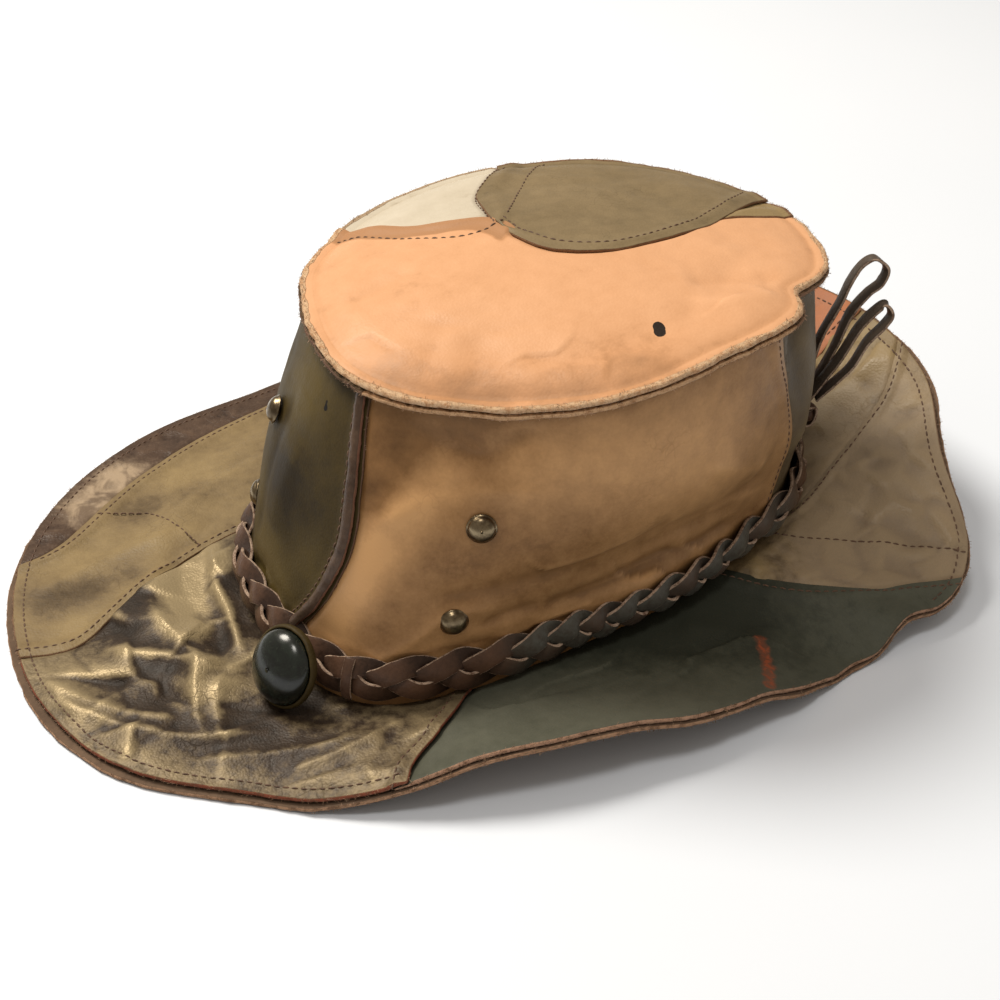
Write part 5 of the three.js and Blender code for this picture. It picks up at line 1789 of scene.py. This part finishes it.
def antique_brass():
    made = Finish("antique_brass", 32)
    wear = made.noise(4.0, 4.0, 0.6)
    pits = made.noise(0.6, 3.0, 0.7)
    base = made.blend(wear.step(0.35, 0.65), colour("564a3a"), colour("8a7b62"))
    rough = (wear - 0.5) * -0.3 + 0.3
    return made.finish(base, rough.clamped(), pits * 0.015, Metallic=1.0)


def waxed_thread():
    made = Finish("waxed_thread", 33)
    base = made.blend(made.noise(3.0, 3.0), colour("3c2a20"), colour("6d4f3a"))
    return made.finish(base, made.noise(1.0, 2.0) * 0.3 + 0.45, made.noise(0.3, 2.0) * 0.1)


FINISHES["stone"] = polished_stone()
FINISHES["antique_brass"] = antique_brass()
THREAD = waxed_thread()
for piece in PIECES.values():
    piece.data.materials.clear()
    piece.data.materials.append(FINISHES[piece["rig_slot"]])
print(len(PIECES), "pieces have their finish")

# %% [markdown]
# Stitches
#
# A seam has hundreds of stitches, all alike but for the small wander of a hand-fed machine. An
# Array modifier would lay them without the wander. Geometry Nodes cut a guide line into steps of
# one stitch and set a short arch of thread on each, along the line and upright on the leather.
# The guide is first dropped on to the leather, so every stitch sits on the surface it sews.

# %% Trees that lay small things
class Layer(Nodes):
    """A geometry tree that lays many copies of one small thing, with its sizes as named inputs."""

    def __init__(self, name, sizes):
        super().__init__(bpy.data.node_groups.new(name, "GeometryNodeTree"))
        self.tree.is_modifier = True
        self.sizes = sizes
        kinds = {"Geometry": "Geometry", **dict.fromkeys(sizes, "Float")}
        kinds.update({"Seed": "Int", "Material": "Material"})
        for label, kind in kinds.items():
            self.tree.interface.new_socket(label, in_out="INPUT", socket_type="NodeSocket" + kind)
        self.tree.interface.new_socket("Geometry", in_out="OUTPUT", socket_type="NodeSocketGeometry")
        first = self.add("NodeGroupInput")
        self.given = {label: first.beside(label) for label in kinds}

    def around_one(self, low, high):
        """A size that differs from copy to copy."""
        inputs = {"Min_001": low, "Max_001": high, "Seed": self.given["Seed"] + 5.0}
        return self.add("FunctionNodeRandomValue", {"data_type": "FLOAT"}, inputs, "Value_001")

    def strand(self, start, middle, end, steps, radius, sides):
        """A short bent tube."""
        line = {"Resolution": steps, "Start": start, "Middle": middle, "End": end}
        curve = self.add("GeometryNodeCurveQuadraticBezier", None, line)
        ring = self.add("GeometryNodeCurvePrimitiveCircle", None, {"Resolution": sides, "Radius": radius})
        swept = {"Curve": curve, "Profile Curve": ring, "Fill Caps": True}
        return self.add("GeometryNodeCurveToMesh", None, swept)

    def lay(self, points, thing, turn, size):
        copies = {"Points": points, "Instance": thing, "Rotation": turn, "Scale": size}
        laid = self.add("GeometryNodeInstanceOnPoints", None, copies)
        real = self.add("GeometryNodeRealizeInstances", None, {"Geometry": laid})
        painted = {"Geometry": real, "Material": self.given["Material"]}
        self.add("NodeGroupOutput", None, {"Geometry": self.add("GeometryNodeSetMaterial", None, painted)})

    def run(self, name, host, material, slot, seed):
        """Runs the tree on a host and keeps the result as a plain mesh. The host goes."""
        modifier = host.modifiers.new(name, "NODES")
        modifier.node_group = self.tree
        sockets = {i.name: i.identifier for i in self.tree.interface.items_tree if i.in_out == "INPUT"}
        for label, held in {**self.sizes, "Seed": seed, "Material": material}.items():
            modifier[sockets[label]] = held
        graph = bpy.context.evaluated_depsgraph_get()
        plain = bpy.data.meshes.new_from_object(host.evaluated_get(graph))
        bpy.data.objects.remove(host)
        return keep(new_object(name, plain), [], slot)


print("A layer's methods:", [name for name in vars(Layer) if not name.startswith("_")])

# %% Stitch tree
STITCH = {"Pitch": 3.0 * MM, "Length": 2.3 * MM, "Thread": 0.3 * MM, "Rise": 0.32 * MM}


def stitch_tree():
    nodes = Layer("stitch_line", STITCH)
    value = nodes.given
    line = nodes.add("GeometryNodeMeshToCurve", None, {"Mesh": value["Geometry"]})
    pitch = {"Curve": line, "Length": value["Pitch"]}
    steps = nodes.add("GeometryNodeResampleCurve", {"mode": "LENGTH"}, pitch)
    ahead = nodes.add("GeometryNodeInputTangent")
    facing = nodes.add("GeometryNodeInputNamedAttribute", {"data_type": "FLOAT_VECTOR"}, {"Name": "facing"})
    turned = nodes.add("FunctionNodeAlignEulerToVector", {"axis": "X"}, {"Vector": ahead})
    stood = nodes.add("FunctionNodeAlignEulerToVector", {"axis": "Z", "pivot_axis": "X"},
                      {"Rotation": turned, "Vector": facing})
    wander = nodes.add("FunctionNodeRandomValue", {"data_type": "FLOAT"},
                       {"Min_001": -0.13, "Max_001": 0.13, "Seed": value["Seed"]}, "Value_001")
    spin = {"Rotation": stood, "Rotate By": nodes.add("ShaderNodeCombineXYZ", None, {"Z": wander})}
    rotated = nodes.add("FunctionNodeRotateEuler", {"space": "LOCAL"}, spin)
    half = value["Length"] * 0.5
    start = nodes.add("ShaderNodeCombineXYZ", None, {"X": half * -1.0, "Z": value["Thread"] * -1.2})
    end = nodes.add("ShaderNodeCombineXYZ", None, {"X": half, "Z": value["Thread"] * -1.2})
    top = nodes.add("ShaderNodeCombineXYZ", None, {"Z": value["Rise"] * 2.0})
    thread = nodes.strand(start, top, end, 5, value["Thread"], 6)
    thread = nodes.add("GeometryNodeSetShadeSmooth", None, {"Geometry": thread})
    nodes.lay(steps, thread, rotated, nodes.around_one(0.85, 1.08))
    return nodes


STITCH_TREE = stitch_tree()
print("The stitch tree has", len(STITCH_TREE.tree.nodes), "nodes")


# %% Laying a row on the leather
def solid_tree(pieces):
    """The finished leather of some pieces, ready to drop lines on."""
    points, faces = [], []
    for piece in pieces:
        offset = len(points)
        points += [vertex.co[:] for vertex in piece.data.vertices]
        faces += [[offset + k for k in face.vertices] for face in piece.data.polygons]
    return BVHTree.FromPolygons(points, faces)


def drop_on(tree, points, normals, above=6.0):
    """Points in mm moved on to the leather under them, with its own normals."""
    placed, facing = [], []
    for point, normal in zip((points + AXIS) * MM, normals):
        start = Vector(point + normal * above * MM)
        hit, turned, _, _ = tree.ray_cast(start, Vector(-normal), 2 * above * MM)
        if hit is not None:
            placed.append(hit)
            facing.append(turned if turned.dot(Vector(normal)) > 0 else -turned)
    return placed, facing


def stitches(name, guides, over, slot, seed):
    """Rows of stitches along guides, each a pair of points and normals, on the pieces they sew."""
    tree = solid_tree([PIECES[piece] for piece in over])
    points, facing, edges = [], [], []
    for line, normals in guides:
        placed, turned = drop_on(tree, line, normals)
        edges += [(len(points) + k, len(points) + k + 1) for k in range(len(placed) - 1)]
        points += placed
        facing += turned
    guide = new_body(name + "_guide", points, edges, [])
    layer = guide.data.attributes.new("facing", "FLOAT_VECTOR", "POINT")
    layer.data.foreach_set("vector", np.array([v[:] for v in facing], np.float32).ravel())
    return STITCH_TREE.run(name, guide, THREAD, slot, seed)


print("Stitches are", STITCH["Pitch"] / MM, "mm apart")

# %% [markdown]
# Rows of stitches
#
# Every seam shows a row: round the rim, beside each lap, and across the old mends. A row could
# be drawn by hand in the view, but one that is placed so many millimetres beside its seam keeps
# its distance all the way, as a machine's foot does.

# %% Rows on the three surfaces
DRAWN_ABOVE = 4.0       # a row on the brim is drawn this far above its lower face, then dropped


def brim_row(at, out):
    at, out = np.array(at, float), np.array(out, float)
    normal = brim_normal(at, out)
    return brim_under(at, out) + normal * DRAWN_ABOVE, normal


def tip_row(spots):
    at, place = to_polar(spread_evenly(through(spots, 12), np.linspace(0, 1, 90)))
    points = tip_top(at, np.minimum(place, 1.9))
    return points, np.tile(UP, (len(points), 1))


def beside_brim_seam(line, inside):
    out = np.linspace(0, 1, 70)
    at = line(out)
    reach = around(FOOT, "reach", at) + out * brim_width(at)
    return brim_row(at + degrees_for(inside, reach), out)


def beside_wall_seam(line, inside):
    up = np.linspace(0.13, 0.98, 80)
    at = line(up) + degrees_for(inside, WALL_REACH)
    return side_point(at, up), side_normal(at, up)


def rim_row(start, end, inside):
    at = np.linspace(start, end, int(abs(end - start) * 1.6) + 2)
    return brim_row(at, 1 - (around(TRIM, "trim", at) + inside) / brim_width(at))


print("The rim's row is", len(rim_row(48, 317, 3.4)[0]), "points long")

# %% The rows
BRIM_PIECES = [name + "_patch" for name, *_ in BRIM_PATCHES]
SIDE_PIECES = [name + "_panel" for name, *_ in SIDE_PANELS]
TIP_PIECES = ["tip_peach_panel", "tip_cream_panel", "tip_olive_panel", "tip_khaki_panel"]
BRIM_SEAMS = [    # each seam and how far beside it the row runs, in mm
    (BRONZE_SLATE, -2.6), (SLATE_KHAKI, -1.6), (KHAKI_DIAGONAL, -1.4), (KHAKI_RUST, 1.6),
    (RUST_BROWN, 1.6), (BROWN_LEFT, 1.6), (LEFT_BRONZE, -1.8),
]
SIDE_SEAMS = [
    (OLIVE_TAN, -4.6), (TAN_GREY, -1.2), (GREY_BROWN, -1.2), (BROWN_KHAKI, -1.2), (KHAKI_OLIVE, 1.2),
]
TIP_ROWS = [    # spots in plan
    [(-62.8, -39), (-48.5, -30), (-31.4, -19), (-21.6, -6.6), (-22.7, 7.4)],
    [(-82, 58), (-58.4, 36.4), (-30.3, 14.5)],
    [(-26, 11), (-13, 12.5), (-1, 19), (7, 35), (3, 62), (-5, 80), (-15, 97), (-22, 107)],
    [(-84, 41), (-72, 30), (-54, 14), (-36, 8.5), (-25, 6)],
]
brim_rows = [beside_brim_seam(*row) for row in BRIM_SEAMS]
brim_rows.append(brim_row(np.full(60, 56.0), np.linspace(0.05, 0.97, 60)))
brim_rows.append(brim_row([232.5, 232, 234, 236.5, 241.5], [0.76, 0.54, 0.44, 0.35, 0.23]))
beside_dark = np.linspace(168, 243, 90)
brim_rows.append(brim_row(beside_dark, dark_edge(beside_dark) - 0.015))
stitches("brim_edge_stitches", [rim_row(48, 317, 3.4)], BRIM_PIECES, "braid_leather", 1)
stitches("brim_seam_stitches", brim_rows, BRIM_PIECES, "braid_leather", 2)
side_rows = [beside_wall_seam(*row) for row in SIDE_SEAMS]
stitches("side_stitches", side_rows, SIDE_PIECES, "braid_leather", 3)
stitches("tip_stitches", [tip_row(spots) for spots in TIP_ROWS], TIP_PIECES, "braid_leather", 4)

# %% [markdown]
# Fibres on the cut edges
#
# Leather is a felt of fibres, so a cut edge that was handled for years grows a short fuzz. Hair
# from a particle system is lost in an export, so Geometry Nodes scatter short bent hairs as plain
# mesh on the long edges that the eye meets: the brim's edge and the double lip at the top.

# %% Fibre tree
FIBRE = {"Density": 1.2e6, "Length": 0.7 * MM, "Thick": 0.055 * MM}


def fibre_tree():
    nodes = Layer("edge_fibres", FIBRE)
    value = nodes.given
    length = value["Length"]
    scatter = nodes.add("GeometryNodeDistributePointsOnFaces", {"distribute_method": "RANDOM"},
                        {"Mesh": value["Geometry"], "Density": value["Density"], "Seed": value["Seed"]})
    spread = {"Min": (-1.1, -1.1, -3.1), "Max": (1.1, 1.1, 3.1), "Seed": value["Seed"] + 3.0}
    lean = nodes.add("FunctionNodeRandomValue", {"data_type": "FLOAT_VECTOR"}, spread, "Value")
    turned = nodes.add("FunctionNodeRotateEuler", {"space": "LOCAL"},
                       {"Rotation": scatter.beside("Rotation"), "Rotate By": lean})
    bend = nodes.add("ShaderNodeCombineXYZ", None, {"X": length * 0.1, "Z": length * 0.6})
    tip = nodes.add("ShaderNodeCombineXYZ", None, {"X": length * 0.5, "Z": length})
    hair = nodes.strand((0.0, 0.0, 0.0), bend, tip, 3, value["Thick"], 3)
    nodes.lay(scatter, hair, turned, nodes.around_one(0.4, 1.3))
    return nodes


FIBRE_TREE = fibre_tree()
print("The fibre tree has", len(FIBRE_TREE.tree.nodes), "nodes")


# %% Fibres on the long edges
def edge_host(name, pieces, wanted):
    """The cut-edge faces of some pieces, where wanted says so for their middles in mm."""
    points, faces = [], []
    for piece in pieces:
        mesh = PIECES[piece].data
        spots = np.empty(len(mesh.vertices) * 3, np.float32)
        mesh.vertices.foreach_get("co", spots)
        spots = spots.reshape(-1, 3)
        raw = np.empty(len(mesh.vertices), np.float32)
        mesh.attributes["raw"].data.foreach_get("value", raw)
        corners = np.array([face.vertices[:] for face in mesh.polygons])
        middles = spots[corners].mean(1) / MM - AXIS
        chosen = corners[(raw[corners].mean(1) > 0.4) & wanted(middles)]
        faces += (chosen + sum(len(block) for block in points)).tolist()
        points.append(spots)
    return new_body(name + "_host", np.concatenate(points).tolist(), [], faces)


def fibres(name, pieces, wanted, slot, seed):
    return FIBRE_TREE.run(name, edge_host(name, pieces, wanted), FIBRE_FINISH, slot, seed)


def leather_fibre():
    made = Finish("leather_fibre", 34)
    base = made.blend(made.noise(4.0, 3.0).step(0.35, 0.65), colour("6f543f"), colour("c4a184"))
    return made.finish(base, 0.9, made.noise(0.3, 1.0) * 0.02)


def where(middles):
    """Angle, reach and height of points."""
    x, y, z = middles.T
    return np.degrees(np.arctan2(y, x)), np.hypot(x, y), z


def at_the_rim(middles):
    at, reach, high = where(middles)
    return (reach > around(RIM, "reach", at) - 6) & (high > 1.1)


def at_the_lip(middles):
    at, reach, high = where(middles)
    return (reach > crease_reach(at) + 1) & (high > 90)


FIBRE_FINISH = leather_fibre()
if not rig.quick():
    fibres("brim_edge_fibres", ["brim_facing_layer", *BRIM_PIECES], at_the_rim, "facing_suede", 21)
    fibres("lip_fibres", [*TIP_PIECES, *SIDE_PIECES], at_the_lip, "facing_suede", 22)

# %% [markdown]
# Floor and light
#
# The hat lies on a plain pale floor. One large soft lamp stands high to the camera's left, as a
# window would, a weaker one to the right picks out the studs, and the pale room fills the
# shadows. A sun would be simpler, but its shadows are too hard for a room.

# %% Floor and lamps
def floor():
    size, low = 3.0, -0.0003
    corners = [(-size, -size, low), (size, -size, low), (size, size, low), (-size, size, low)]
    made = new_body("floor", corners, [], [(0, 1, 2, 3)])
    finish = Finish("pale_floor", 41)
    base = finish.blend(finish.noise(200.0, 2.0), colour("e3ebf7"), colour("e9f0fb"))
    made.data.materials.append(finish.finish(base, 0.85, finish.noise(4.0, 2.0) * 0.02))
    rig.stage(made)


def lamp(name, at, above, distance, size, power, tint):
    data = bpy.data.lights.new(name, "AREA")
    data.shape, data.size, data.energy, data.color = "DISK", size, power, tint
    aim(new_object(name, data), Vector((0, 0, 0.05)), at, above, distance)


def room(strength):
    world = bpy.data.worlds.new("room")
    world.use_nodes = True
    background = world.node_tree.nodes["Background"]
    background.inputs["Color"].default_value = (1.0, 0.89, 0.76, 1.0)
    background.inputs["Strength"].default_value = strength
    bpy.context.scene.world = world


floor()
lamp("window", 208.0, 57.0, 1.6, 0.7, 27.0, (1.0, 0.93, 0.82))
lamp("right", 320.0, 70.0, 1.5, 0.35, 5.0, (1.0, 0.95, 0.88))
room(0.38)
bpy.context.scene.view_settings.view_transform = "Standard"
print("Lamps:", [light.name for light in bpy.data.lights])

# %% Sizes and finish
def plain(box):
    return [[float(number) for number in corner] for corner in box]


with open("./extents.json", "w") as file:
    json.dump({"cad": plain(cad_bounds), "visual": plain(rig.bounds())}, file)
print("Boxes:", json.load(open("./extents.json")))
